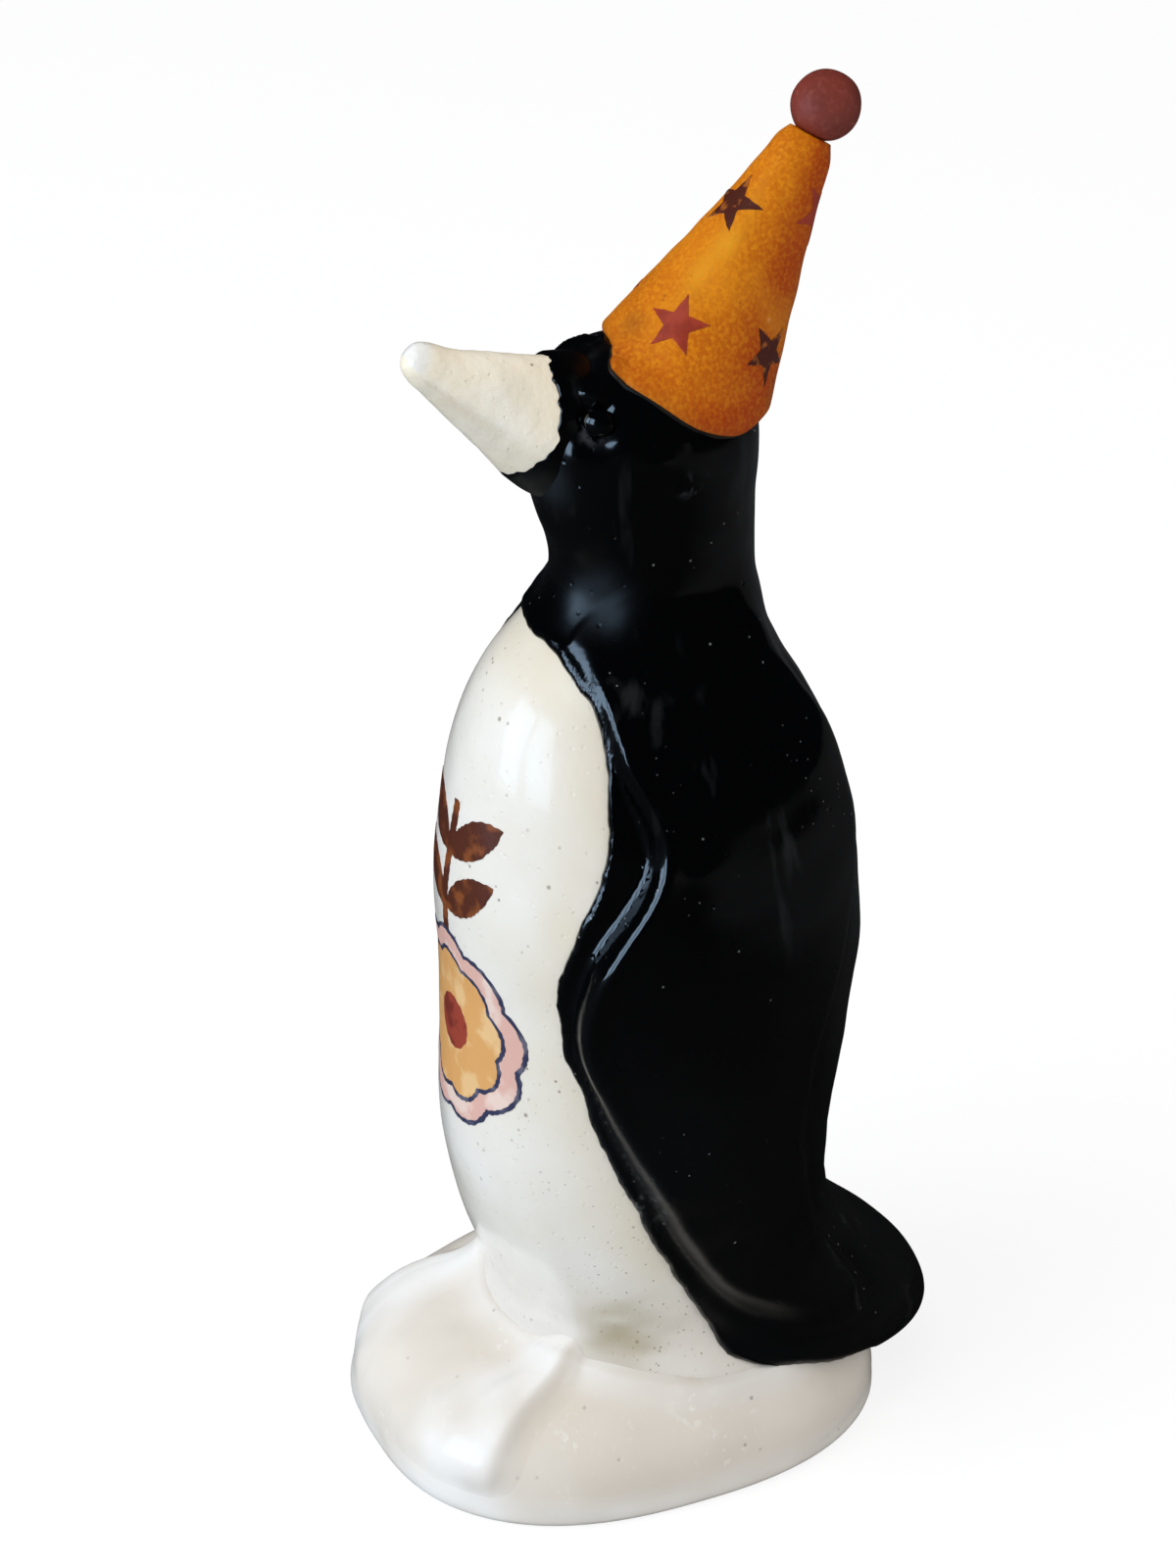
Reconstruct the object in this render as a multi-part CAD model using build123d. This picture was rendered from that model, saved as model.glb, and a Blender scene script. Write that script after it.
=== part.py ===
from build123d import *

import math
import os

# Penguin figurine with a party hat, in millimetres.
# The bird faces -Y and +X is its left side. The origin is the middle of the flat underside.

# Base mound, the slab that closes it and the spigot that centres the body
base_length = 104.2
base_width = 86.4
base_height = 24.0
base_wall = 5.0
base_squareness = 2.47
floor_thickness = 4.0
vent_diameter = 3.0
vent_setback = 27.0
spigot_height = 3.0
spigot_wall = 3.5
spigot_clearance = 0.8

# Body casting: torso, neck and head in one hollow shell
body_height = 199.6
body_depth = 80.0
body_width = 74.0
body_setback = 5.7
body_wall = 5.0

# Beak, placed by the middle of its root as shares of the body's depth and height
beak_length = 29.4
beak_depth = 25.0
beak_width = 17.0
beak_rise_angle = 32.0
beak_forward_share = 0.255
beak_height_share = 0.9434
beak_root_length = 8.0

# Wings
wing_thickness = 4.6

# Tail and the skirt round it. Its underside is a share of the mound's height, the rest are
# shares of the body's height, depth and width.
tail_underside_share = 0.29
tail_top_share = 0.115
tail_reach_share = 0.779
tail_width_share = 0.892

# Feet. The spacing, the heel and the underside are shares of the mound's width, length and height.
foot_length = 33.0
foot_width = 25.0
foot_rise = 4.0
foot_root_depth = 14.0
foot_spacing_share = 0.386
foot_heel_share = 0.111
foot_underside_share = 0.33

# Eyes, placed as shares of the body's height, depth and width
eye_diameter = 7.0
eye_height_share = 0.9494
eye_forward_share = 0.196
eye_spacing_share = 0.29

# Black glaze, and the fired transfers
glaze_thickness = 1.0
transfer_thickness = 0.4

# Hat, the bed of slip under it and the ball in its tip. The middle of the rim is placed as
# shares of the body's depth and height.
hat_length = 47.8
hat_diameter = 33.7
hat_tilt = 30.8
hat_setback_share = 0.082
hat_seat_share = 0.96
hat_wall = 3.6
hat_droop = 3.5
hat_tip_thickness = 9.0
hat_seam_angle = 115.0
bed_thickness = 0.6
ball_diameter = 12.5
ball_sink = 0.6
peg_diameter = 4.0
peg_length = 6.0
peg_clearance = 0.2

# Stars on the hat
star_diameter = 11.5
star_points = 5
star_waist_share = 0.42

# Flower on the belly, placed as a share of the body's height
flower_height_share = 0.351
petal_count = 9
petal_reach = 15.0
petal_width = 11.0
flower_heart_diameter = 11.0
flower_border_width = 4.5
flower_line_width = 0.9
leaf_length = 17.0
leaf_width = 7.0
leaf_angle = 35.0
leaf_places_share = (0.20, 0.62)
stem_width = 2.4
stem_length = 27.0

# One overrun for every cut, and the number of points round the mound's outline
overrun = 10.0
outline_steps = 24

# Sections of the body from its lower edge to the crown. Shares, in order: height of the body
# height, front and back reach of its depth, width of its width, and how far a wing stands out
# there. The lower edge is cut to fit the mound; the second section is level with the mound's top.
body_section_shares = [
    (-0.0300, 0.300, 0.405, 0.775, 1.0),
    (0.0000, 0.330, 0.415, 0.797, 1.0),
    (0.1000, 0.434, 0.434, 0.865, 1.0),
    (0.1900, 0.490, 0.450, 0.914, 1.0),
    (0.2900, 0.492, 0.479, 0.960, 1.0),
    (0.3900, 0.491, 0.509, 1.000, 1.0),
    (0.4900, 0.500, 0.498, 1.000, 0.95),
    (0.5800, 0.469, 0.449, 0.914, 0.75),
    (0.6540, 0.429, 0.372, 0.778, 0.55),
    (0.6860, 0.393, 0.327, 0.690, 0.40),
    (0.7180, 0.330, 0.283, 0.603, 0.25),
    (0.7780, 0.213, 0.242, 0.460, -0.1),
    (0.8280, 0.221, 0.240, 0.446, -0.3),
    (0.8780, 0.266, 0.246, 0.473, -0.3),
    (0.9180, 0.268, 0.246, 0.481, -0.3),
    (0.9500, 0.250, 0.214, 0.438, -0.3),
    (0.9750, 0.215, 0.164, 0.368, -0.3),
    (0.9925, 0.150, 0.085, 0.243, -0.3),
    (1.0000, 0.080, -0.010, 0.108, -0.3),
]
cavity_section_count = 16

# Sections of the mound. Shares, in order: height of its height, and size of its whole outline.
base_section_shares = [
    (0.00, 0.962),
    (0.13, 1.000),
    (0.33, 1.000),
    (0.50, 0.978),
    (0.67, 0.925),
    (0.83, 0.830),
    (0.95, 0.690),
    (1.00, 0.540),
]

# Sections of the beak from its root to its tip. Shares of its length, depth and width.
beak_section_shares = [
    (0.00, 0.96, 1.00),
    (0.20, 0.80, 0.85),
    (0.42, 0.63, 0.72),
    (0.62, 0.47, 0.58),
    (0.80, 0.35, 0.45),
    (0.92, 0.28, 0.37),
    (0.985, 0.18, 0.25),
]

# Sections of the tail. Shares, in order: height above its underside, front and back reach of the
# tail's reach from the middle of the body, width.
tail_section_shares = [
    (0.000, 0.219, 0.992, 0.55),
    (0.075, 0.065, 1.000, 0.71),
    (0.175, -0.050, 0.980, 0.86),
    (0.325, -0.196, 0.924, 1.0),
    (0.525, -0.292, 0.784, 0.985),
    (0.775, -0.372, 0.621, 0.94),
    (1.000, -0.418, 0.537, 0.9),
]

# Sections of a foot from heel to toe. Shares, in order: length of its length, distance from the
# middle of the bird of half the foot spacing, width of its width, and height of its highest point.
foot_section_shares = [
    (0.00, 1.00, 0.55, 1.00),
    (0.25, 1.10, 0.74, 0.94),
    (0.50, 1.16, 0.88, 0.882),
    (0.78, 1.18, 0.96, 0.765),
    (1.00, 1.14, 0.80, 0.59),
]

# Outlines seen from the side. Shares of the body depth forwards and of the body height upwards.
mantle_edge_shares = [
    (0.274, 0.738), (0.261, 0.707), (0.254, 0.656), (0.261, 0.600), (0.300, 0.540),
    (0.355, 0.468), (0.369, 0.412), (0.345, 0.351), (0.285, 0.265), (0.183, 0.173),
    (0.052, 0.087), (-0.130, -0.005), (-0.277, -0.061), (-0.409, -0.087),
]
wing_outline_shares = [
    (0.244, 0.723), (0.224, 0.651), (0.214, 0.570), (0.249, 0.509), (0.315, 0.438),
    (0.335, 0.372), (0.300, 0.295), (0.188, 0.194), (0.026, 0.092), (-0.207, 0.018),
    (-0.338, -0.005), (-0.394, 0.051), (-0.369, 0.112), (-0.272, 0.194), (-0.227, 0.280),
    (-0.252, 0.356), (-0.328, 0.428), (-0.380, 0.529), (-0.300, 0.641), (-0.120, 0.735),
]

# Profile of the hat from rim to tip. Shares of the length and of the radius.
hat_profile_shares = [(0.00, 1.00), (0.16, 0.88), (0.36, 0.725), (0.66, 0.495), (1.00, 0.29)]

# Stars: place as a share of the hat length, angle round the hat from its front, turn of the star.
star_place_shares = [
    (0.19, 38.0, 8.0),
    (0.24, 117.0, -6.0),
    (0.21, 176.0, 14.0),
    (0.22, 250.0, -10.0),
    (0.22, 312.0, 4.0),
    (0.66, 8.0, 20.0),
    (0.76, 138.0, -12.0),
    (0.69, 256.0, 10.0),
]


def ellipse_section(half_width, half_depth, centre_y, level):
    """An ellipse whose seam lies at the back of the bird."""
    return Pos(0, centre_y, level) * Rot(0, 0, 90) * Ellipse(half_depth, half_width)


def body_form(growth, raise_shares=False, section_count=len(body_section_shares)):
    """The body's outer form, moved outwards by a growth, or inwards by a negative one."""
    sections = []
    for height, front, back, width, raised in body_section_shares[:section_count]:
        local_growth = growth * raised if raise_shares else growth
        half_depth = (front + back) * body_depth / 2 + local_growth
        half_width = width * body_width / 2 + local_growth
        centre_y = body_setback + (back - front) * body_depth / 2
        level = base_height + height * (body_height + (0 if raise_shares else growth))
        sections.append(ellipse_section(half_width, half_depth, centre_y, level))
    return loft(sections)


def side_point(forward_share, height_share):
    return (0, body_setback - forward_share * body_depth, base_height + height_share * body_height)


def side_prism(edges):
    """A closed outline in the bird's side view, stretched across its whole width."""
    outline = make_face(Wire(edges))
    return extrude(outline, amount=base_width, both=True)


def mantle_region():
    """Everything behind the line where the black glaze ends."""
    edge_points = [side_point(*share) for share in mantle_edge_shares]
    top = edge_points[0]
    bottom = edge_points[-1]
    back_y = base_length
    front_y = -base_length
    above = base_height + body_height + hat_length
    edges = [
        Spline(*edge_points),
        Line(bottom, (0, back_y, bottom[2])),
        Line((0, back_y, bottom[2]), (0, back_y, above)),
        Line((0, back_y, above), (0, front_y, above)),
        Line((0, front_y, above), (0, front_y, top[2])),
        Line((0, front_y, top[2]), top),
    ]
    return side_prism(edges)


def wing_region():
    """The wings' outline in the side view."""
    outline = [side_point(*share) for share in wing_outline_shares]
    return side_prism([Spline(*outline, periodic=True)])


def squarish_outline(half_width, half_length, level):
    """A closed outline between an ellipse and a rectangle, with its seam at the back."""
    points = []
    for step in range(outline_steps):
        angle = math.radians(90 + step * 360 / outline_steps)
        across = math.copysign(abs(math.cos(angle)) ** (2 / base_squareness), math.cos(angle))
        along = math.copysign(abs(math.sin(angle)) ** (2 / base_squareness), math.sin(angle))
        points.append((half_width * across, half_length * along, level))
    return make_face(Wire([Spline(*points, periodic=True)]))


def mound_form(growth):
    """The mound's outer form, or with a negative growth the hollow inside it."""
    sections = []
    for height, size in base_section_shares:
        half_width = size * base_width / 2 + growth
        half_length = size * base_length / 2 + growth
        sections.append(squarish_outline(half_width, half_length, height * base_height))
    return loft(sections)


def seat_ellipse(inset):
    """The outline of the body level with the mound's top, moved inwards."""
    _, front, back, width, _ = body_section_shares[1]
    centre_y = body_setback + (back - front) * body_depth / 2
    return ellipse_section(
        width * body_width / 2 - inset,
        (front + back) * body_depth / 2 - inset,
        centre_y,
        base_height,
    )


def make_base(mound_outside):
    """The mound, open underneath for its slab and open on top inside the spigot."""
    spigot_inset = body_wall + spigot_clearance
    spigot = extrude(seat_ellipse(spigot_inset), amount=spigot_height)
    well = extrude(seat_ellipse(spigot_inset + spigot_wall), amount=spigot_height + overrun, both=True)
    inside = mound_form(-base_wall) & Pos(0, 0, floor_thickness) * floor_block()
    rebate = extrude(floor_outline(), amount=floor_thickness)
    return mound_outside + spigot - inside - well - rebate


def floor_block():
    """A block as high as the mound's hollow, which ends one wall below the seat."""
    hollow_height = base_height - base_wall - floor_thickness
    return Box(base_width, base_length, hollow_height, align=(Align.CENTER, Align.CENTER, Align.MIN))


def floor_outline():
    underside_share = base_section_shares[0][1]
    half_width = underside_share * base_width / 2 - base_wall
    half_length = underside_share * base_length / 2 - base_wall
    return squarish_outline(half_width, half_length, 0)


def make_floor():
    slab = extrude(floor_outline(), amount=floor_thickness)
    vent = Pos(0, vent_setback, 0) * Cylinder(vent_diameter / 2, floor_thickness * 3)
    return slab - vent


def beak_plane():
    """Its normal points along the beak, its x axis points to the bird's left."""
    rise = math.radians(beak_rise_angle)
    return Plane(
        origin=side_point(beak_forward_share, beak_height_share),
        x_dir=(1, 0, 0),
        z_dir=(0, -math.cos(rise), math.sin(rise)),
    )


def make_beak(body_outside):
    """The beak, with a root that reaches into the face and is then cut to fit it."""
    plane = beak_plane()
    root_depth_share, root_width_share = beak_section_shares[0][1:]
    root = Ellipse(root_width_share * beak_width / 2, root_depth_share * beak_depth / 2)
    sections = [plane * Pos(0, 0, -beak_root_length) * root]
    for length, depth, width in beak_section_shares:
        section = Ellipse(width * beak_width / 2, depth * beak_depth / 2)
        sections.append(plane * Pos(0, 0, length * beak_length) * section)
    return loft(sections) - body_outside


def make_tail():
    reach = tail_reach_share * body_depth
    underside = tail_underside_share * base_height
    top = base_height + tail_top_share * body_height
    sections = []
    for height, front, back, width in tail_section_shares:
        sections.append(ellipse_section(
            width * tail_width_share * body_width / 2,
            (back - front) * reach / 2,
            body_setback + (back + front) * reach / 2,
            underside + height * (top - underside),
        ))
    return loft(sections)


def make_foot(side):
    """A webbed foot as a low ridge that widens to the toes, with its root inside the mound."""
    half_spacing = side * foot_spacing_share * base_width / 2
    heel_y = -foot_heel_share * base_length
    highest = base_height + foot_rise
    sections = []
    for length, spread, width, height in foot_section_shares:
        level = height * highest - foot_root_depth
        centre = (spread * half_spacing, heel_y - length * foot_length, level)
        plane = Plane(origin=centre, x_dir=(1, 0, 0), z_dir=(0, -1, 0))
        sections.append(plane * Ellipse(width * foot_width / 2, foot_root_depth))
    above_rim = Pos(0, 0, foot_underside_share * base_height) * Box(
        base_width, base_length, highest, align=(Align.CENTER, Align.CENTER, Align.MIN))
    return loft(sections) & above_rim


def make_eye(side):
    half_spacing = side * eye_spacing_share * body_width / 2
    place = side_point(eye_forward_share, eye_height_share)
    return Pos(*place) * Pos(half_spacing, 0, 0) * Sphere(eye_diameter / 2)


def hat_plane():
    """Its normal points from the rim to the tip, and its y axis points to the hat's back."""
    tilt = math.radians(hat_tilt)
    return Plane(
        origin=side_point(-hat_setback_share, hat_seat_share),
        x_dir=(1, 0, 0),
        z_dir=(0, math.sin(tilt), math.cos(tilt)),
    )


def hat_radius(length_share):
    """The hat's outer radius at a share of its length, along the straight runs of its profile."""
    for lower, upper in zip(hat_profile_shares, hat_profile_shares[1:]):
        if length_share <= upper[0]:
            run = (length_share - lower[0]) / (upper[0] - lower[0])
            return hat_diameter / 2 * (lower[1] + run * (upper[1] - lower[1]))
    return hat_diameter / 2 * hat_profile_shares[-1][1]


def hat_form(growth, length):
    """A closed cone with the hat's profile, moved outwards by a growth and cut to a length."""
    first, second = hat_profile_shares[:2]
    slope = (first[1] - second[1]) * hat_diameter / 2 / ((second[0] - first[0]) * hat_length)
    skirt_point = (hat_diameter / 2 + slope * hat_droop + growth, 0, -hat_droop)
    outline = [skirt_point]
    for height, radius in hat_profile_shares:
        outline.append((radius * hat_diameter / 2 + growth, 0, height * hat_length))
    top = outline[-1]
    profile = make_face(Wire([
        Spline(*outline),
        Line(top, (0, 0, top[2])),
        Line((0, 0, top[2]), (0, 0, -hat_droop)),
        Line((0, 0, -hat_droop), skirt_point),
    ]))
    whole = Rot(0, 0, hat_seam_angle) * revolve(profile, axis=Axis.Z)
    keep = Pos(0, 0, -hat_droop) * Cylinder(
        hat_diameter, length + hat_droop, align=(Align.CENTER, Align.CENTER, Align.MIN))
    return whole & keep


def droop_cutter():
    """A round bar across the rim, which leaves the rim lower at the hat's two sides."""
    half_rim = hat_diameter / 2
    radius = (half_rim ** 2 + hat_droop ** 2) / (2 * hat_droop)
    bar = Cylinder(radius, hat_diameter * 2, rotation=(90, 0, 0))
    return Pos(0, 0, -radius) * bar


def make_hat_blank():
    """The hat before its rim is fitted to the crown."""
    outside = hat_form(0, hat_length)
    inside = hat_form(-hat_wall, hat_length - hat_tip_thickness)
    peg_hole = Pos(0, 0, hat_length - peg_length) * Cylinder(
        peg_diameter / 2 + peg_clearance, peg_length + overrun,
        align=(Align.CENTER, Align.CENTER, Align.MIN))
    return hat_plane() * (outside - inside - peg_hole - droop_cutter())


def make_ball():
    radius = ball_diameter / 2
    centre = hat_length + radius - ball_sink
    peg = Pos(0, 0, hat_length - peg_length + peg_clearance) * Cylinder(
        peg_diameter / 2, peg_length, align=(Align.CENTER, Align.CENTER, Align.MIN))
    ball = Pos(0, 0, centre) * Sphere(radius)
    hat_top = Cylinder(hat_diameter / 2, hat_length, align=(Align.CENTER, Align.CENTER, Align.MIN))
    return hat_plane() * (ball - hat_top + peg)


def star_face():
    corners = []
    for step in range(2 * star_points):
        angle = math.radians(90 + step * 180 / star_points)
        radius = star_diameter / 2 * (1 if step % 2 == 0 else star_waist_share)
        corners.append((radius * math.cos(angle), radius * math.sin(angle)))
    return make_face(Polyline(*corners, close=True))


def make_star(length_share, angle, turn, film):
    radius = hat_radius(length_share)
    around = math.radians(angle)
    outward = Vector(math.sin(around), -math.cos(around), 0)
    origin = Vector(outward.X * radius, outward.Y * radius, length_share * hat_length)
    side = Vector(math.cos(around), math.sin(around), 0)
    face = Plane(origin=origin, x_dir=side, z_dir=outward) * Rot(0, 0, turn) * star_face()
    block = extrude(face, amount=hat_wall, both=True)
    return hat_plane() * (block & film)


def flower_shape(reach, width):
    """A ring of round petals with the disc that joins them, flat on the XY plane."""
    centre = reach - width / 2
    shape = Circle(centre)
    for step in range(petal_count):
        angle = math.radians(90 + step * 360 / petal_count)
        shape += Pos(centre * math.cos(angle), centre * math.sin(angle)) * Circle(width / 2)
    return shape


def leaf_shape(side):
    """A pointed leaf of two arcs that rises outwards from the XY origin."""
    rise = math.radians(leaf_angle)
    tip = (side * leaf_length * math.cos(rise), leaf_length * math.sin(rise))
    bulge = (side * math.sin(rise) * leaf_width / 2, math.cos(rise) * leaf_width / 2)
    upper = (tip[0] / 2 - bulge[0], tip[1] / 2 + bulge[1])
    lower = (tip[0] / 2 + bulge[0], tip[1] / 2 - bulge[1])
    return make_face(Wire([ThreePointArc((0, 0), upper, tip), ThreePointArc(tip, lower, (0, 0))]))


def flower_shapes():
    """The flat shapes of the flower, one for each colour, none over another."""
    line = flower_line_width
    border = flower_border_width
    heart = Circle(flower_heart_diameter / 2)
    petals = flower_shape(petal_reach, petal_width)
    petals_lined = flower_shape(petal_reach + line, petal_width + 2 * line)
    bordered = flower_shape(petal_reach + border, petal_width + border)
    bordered_lined = flower_shape(petal_reach + border + line, petal_width + border + 2 * line)
    stem_foot = petal_reach + border
    leaves = Pos(0, stem_foot + stem_length / 2) * Rectangle(stem_width, stem_length)
    for place_share in leaf_places_share:
        for side in (-1, 1):
            leaves += Pos(0, stem_foot + place_share * stem_length) * leaf_shape(side)
    return {
        "flower_heart": heart,
        "flower_petals": petals - heart,
        "flower_border": bordered - petals_lined,
        "flower_lines": (petals_lined - petals) + (bordered_lined - bordered),
        "flower_leaves": leaves - bordered_lined,
    }


def make_flower_piece(shape, film):
    """What a flat shape cuts out of the film on the belly, when it is pushed in from the front."""
    height = base_height + flower_height_share * body_height
    front = Plane(origin=(0, -base_length, height), x_dir=(1, 0, 0), z_dir=(0, -1, 0))
    block = extrude(front * shape, amount=-base_length)
    return block & film


body_outside = body_form(0)
mound_outside = mound_form(0)
under_pieces = body_outside + mound_outside
glazed_body = body_form(glaze_thickness)
bedded_crown = body_form(glaze_thickness + bed_thickness)
mantle = mantle_region()
tail_blank = make_tail()
hat_blank = make_hat_blank()
wing_pair = (body_form(wing_thickness, raise_shares=True) & wing_region()) - body_outside
right_wing, left_wing = wing_pair.solids().sort_by(Axis.X)

pieces = {}
body_cavity = body_form(-body_wall, section_count=cavity_section_count)
pieces["body_shell"] = body_outside - body_cavity - mound_outside
pieces["base_mound"] = make_base(mound_outside)
pieces["base_floor"] = make_floor()
pieces["beak"] = make_beak(body_outside)
pieces["left_wing"] = left_wing
pieces["right_wing"] = right_wing
pieces["tail"] = (tail_blank & mantle) - under_pieces - wing_pair
for side_name, side in (("left", 1), ("right", -1)):
    pieces[side_name + "_foot"] = make_foot(side) - under_pieces
    pieces[side_name + "_eye"] = make_eye(side) - glazed_body
pieces["mantle_glaze"] = (
    (glazed_body & mantle) - under_pieces - wing_pair - tail_blank - pieces["beak"]
)
pieces["hat_cone"] = hat_blank - bedded_crown
pieces["hat_bedding"] = (hat_blank & bedded_crown) - glazed_body
pieces["hat_ball"] = make_ball()

hat_film = hat_form(transfer_thickness, hat_length) - hat_form(0, hat_length)
for number, place in enumerate(star_place_shares, start=1):
    pieces["hat_star_" + str(number)] = make_star(*place, hat_film)

belly_film = body_form(transfer_thickness) - body_outside
for name, shape in flower_shapes().items():
    pieces[name] = make_flower_piece(shape, belly_film)

os.makedirs("parts", exist_ok=True)
for name, piece in pieces.items():
    export_step(piece, "parts/" + name + ".step")
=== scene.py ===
import math

import bpy
import numpy as np
from mathutils import Matrix, Vector
from mathutils.bvhtree import BVHTree


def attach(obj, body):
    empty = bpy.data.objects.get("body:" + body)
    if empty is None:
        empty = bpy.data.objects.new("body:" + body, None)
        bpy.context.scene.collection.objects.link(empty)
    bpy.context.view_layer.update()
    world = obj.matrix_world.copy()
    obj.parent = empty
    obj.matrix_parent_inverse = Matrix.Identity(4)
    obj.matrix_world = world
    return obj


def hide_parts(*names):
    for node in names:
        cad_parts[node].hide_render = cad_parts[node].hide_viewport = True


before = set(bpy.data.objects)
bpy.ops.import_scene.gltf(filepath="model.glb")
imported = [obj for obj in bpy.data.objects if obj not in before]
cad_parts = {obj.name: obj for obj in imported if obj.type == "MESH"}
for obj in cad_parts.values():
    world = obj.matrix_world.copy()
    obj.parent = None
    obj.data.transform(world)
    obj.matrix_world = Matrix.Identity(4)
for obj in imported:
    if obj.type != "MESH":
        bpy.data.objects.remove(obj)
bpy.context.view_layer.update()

# Body shell: one hollow casting of pale clay from the lower edge to the crown, dipped in a
# glossy off-white glaze with iron specks. It shows on the breast, belly and flanks; the rest is
# under the black glaze. Its lower edge flares where it is luted to the mound.
MM = 0.001
BODY_HEIGHT, BODY_DEPTH, BODY_WIDTH = 199.6, 80.0, 74.0
SEAT_LEVEL, BODY_SETBACK, BODY_WALL = 24.0, 5.7, 5.0
# height, front reach, back reach and width, as shares of the sizes above
BODY_ROWS = np.array([
    (-0.0852, 0.270, 0.395, 0.750), (-0.0300, 0.300, 0.405, 0.775), (0.0000, 0.330, 0.415, 0.797),
    (0.1000, 0.434, 0.434, 0.865), (0.1900, 0.490, 0.450, 0.914), (0.2900, 0.492, 0.479, 0.960),
    (0.3900, 0.491, 0.509, 1.000), (0.4900, 0.500, 0.498, 1.000), (0.5800, 0.469, 0.449, 0.914),
    (0.6540, 0.429, 0.372, 0.778), (0.6860, 0.393, 0.327, 0.690), (0.7180, 0.330, 0.283, 0.603),
    (0.7780, 0.213, 0.242, 0.460), (0.8280, 0.221, 0.240, 0.446), (0.8780, 0.266, 0.246, 0.473),
    (0.9180, 0.268, 0.246, 0.481), (0.9500, 0.250, 0.214, 0.438), (0.9750, 0.215, 0.164, 0.368),
    (0.9925, 0.150, 0.085, 0.243), (1.0000, 0.080, -0.010, 0.108),
])
COLUMNS = 240
NECK_LEVEL, ROWS_BELOW, ROWS_ABOVE = 172.0, 165, 125


def spline(knots, values, at):
    """Natural cubic spline through the values."""
    knots, values = np.asarray(knots, float), np.asarray(values, float)
    gap, count = np.diff(knots), len(knots)
    system, right = np.eye(count), np.zeros(count)
    for i in range(1, count - 1):
        system[i, i - 1:i + 2] = gap[i - 1], 2 * (gap[i - 1] + gap[i]), gap[i]
        rise = (values[i + 1] - values[i]) / gap[i] - (values[i] - values[i - 1]) / gap[i - 1]
        right[i] = 6 * rise
    bend = np.linalg.solve(system, right)
    at = np.asarray(at, float)
    i = np.clip(np.searchsorted(knots, at) - 1, 0, count - 2)
    left, rest, step = at - knots[i], knots[i + 1] - at, gap[i]
    return ((bend[i] * rest ** 3 + bend[i + 1] * left ** 3) / (6 * step)
            + (values[i] / step - bend[i] * step / 6) * rest
            + (values[i + 1] / step - bend[i + 1] * step / 6) * left)


def ease(x):
    """From 0 to 1 with a soft start and a soft end."""
    x = np.clip(x, 0, 1)
    return x * x * (3 - 2 * x)


def bell(*parts):
    """1 where every part is 0, falling off to 0 all round."""
    return np.exp(-sum(part ** 2 for part in parts))


def full_turn(count):
    """Angles round a whole circle, from the back, as one row."""
    return np.linspace(-math.pi, math.pi, count, endpoint=False)[None, :]


def chord_marks(*columns):
    """How far along a profile each of its rows lies."""
    return np.concatenate([[0], np.cumsum(np.sqrt(sum(np.diff(column) ** 2 for column in columns)))])


def ring_of(row, count):
    """The numbers of the points in one row of a grid."""
    return np.arange(row * count, (row + 1) * count)


def gaps_to(points, place):
    """Distance of each point from one place."""
    return np.linalg.norm(points - place, axis=-1)


def wobble(points, scale, seed):
    """Smooth hand-made unevenness between about -1 and 1."""
    draw = np.random.default_rng(seed)
    total = 0
    for _ in range(7):
        direction = draw.normal(size=3)
        direction *= 2 * math.pi / scale / np.linalg.norm(direction) * draw.uniform(0.6, 1.5)
        total = total + np.sin(points @ direction + draw.uniform(0, 6.28))
    return total / 3.5


def grid_triangles(rows, columns, closed=True):
    """Two triangles for each cell of a grid of rows; closed joins the last column to the first."""
    r, c = np.meshgrid(np.arange(rows - 1), np.arange(columns if closed else columns - 1),
                       indexing="ij")
    a, b = (r * columns + c).ravel(), (r * columns + (c + 1) % columns).ravel()
    return np.concatenate([np.stack([a, b, b + columns], 1), np.stack([a, b + columns, a + columns], 1)])


def grid_normals(grid, closed=True):
    """The direction in which a grid of points faces at each of them."""
    padded = np.concatenate([grid[:, -1:], grid, grid[:, :1]], 1) if closed else grid
    across = np.gradient(padded, axis=1)
    if closed:
        across = across[:, 1:-1]
    up = np.gradient(grid, axis=0)
    normals = np.cross(across, up)
    return normals / np.maximum(np.linalg.norm(normals, axis=-1, keepdims=True), 1e-9)


def cap(points, triangles, ring, centre, flip):
    """Closes a ring of points with a fan to one point."""
    middle = len(points)
    following = np.roll(ring, -1)
    fan = np.stack([ring, following, np.full(len(ring), middle)], 1)
    if flip:
        fan = fan[:, ::-1]
    return np.concatenate([points, [centre]]), np.concatenate([triangles, fan])


def shell(outer, inner, triangles):
    """A closed wall between two surfaces with the same triangles."""
    count = len(outer)
    edges = np.concatenate([triangles[:, [0, 1]], triangles[:, [1, 2]], triangles[:, [2, 0]]])
    keys = np.sort(edges, 1)
    keys = keys[:, 0] * count + keys[:, 1]
    _, first, times = np.unique(keys, return_index=True, return_counts=True)
    rim = edges[first[times == 1]]
    sides = np.concatenate([
        np.stack([rim[:, 1], rim[:, 0], rim[:, 0] + count], 1),
        np.stack([rim[:, 1], rim[:, 0] + count, rim[:, 1] + count], 1),
    ])
    faces = np.concatenate([triangles, triangles[:, ::-1] + count, sides])
    return np.concatenate([outer, inner]), faces


def vertex_normals(points, triangles):
    """The direction in which a closed or open surface faces at each of its points."""
    a, b, c = (points[triangles[:, k]] for k in range(3))
    face_normals = np.cross(b - a, c - a)
    total = np.zeros_like(points)
    for k in range(3):
        np.add.at(total, triangles[:, k], face_normals)
    return total / np.maximum(np.linalg.norm(total, axis=1, keepdims=True), 1e-12)


def dress(piece, slot, *nodes):
    """Rides a piece on the figurine, with the nodes that it stands for; the slot is not used."""
    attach(piece, "root")
    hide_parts(*nodes)


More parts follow.
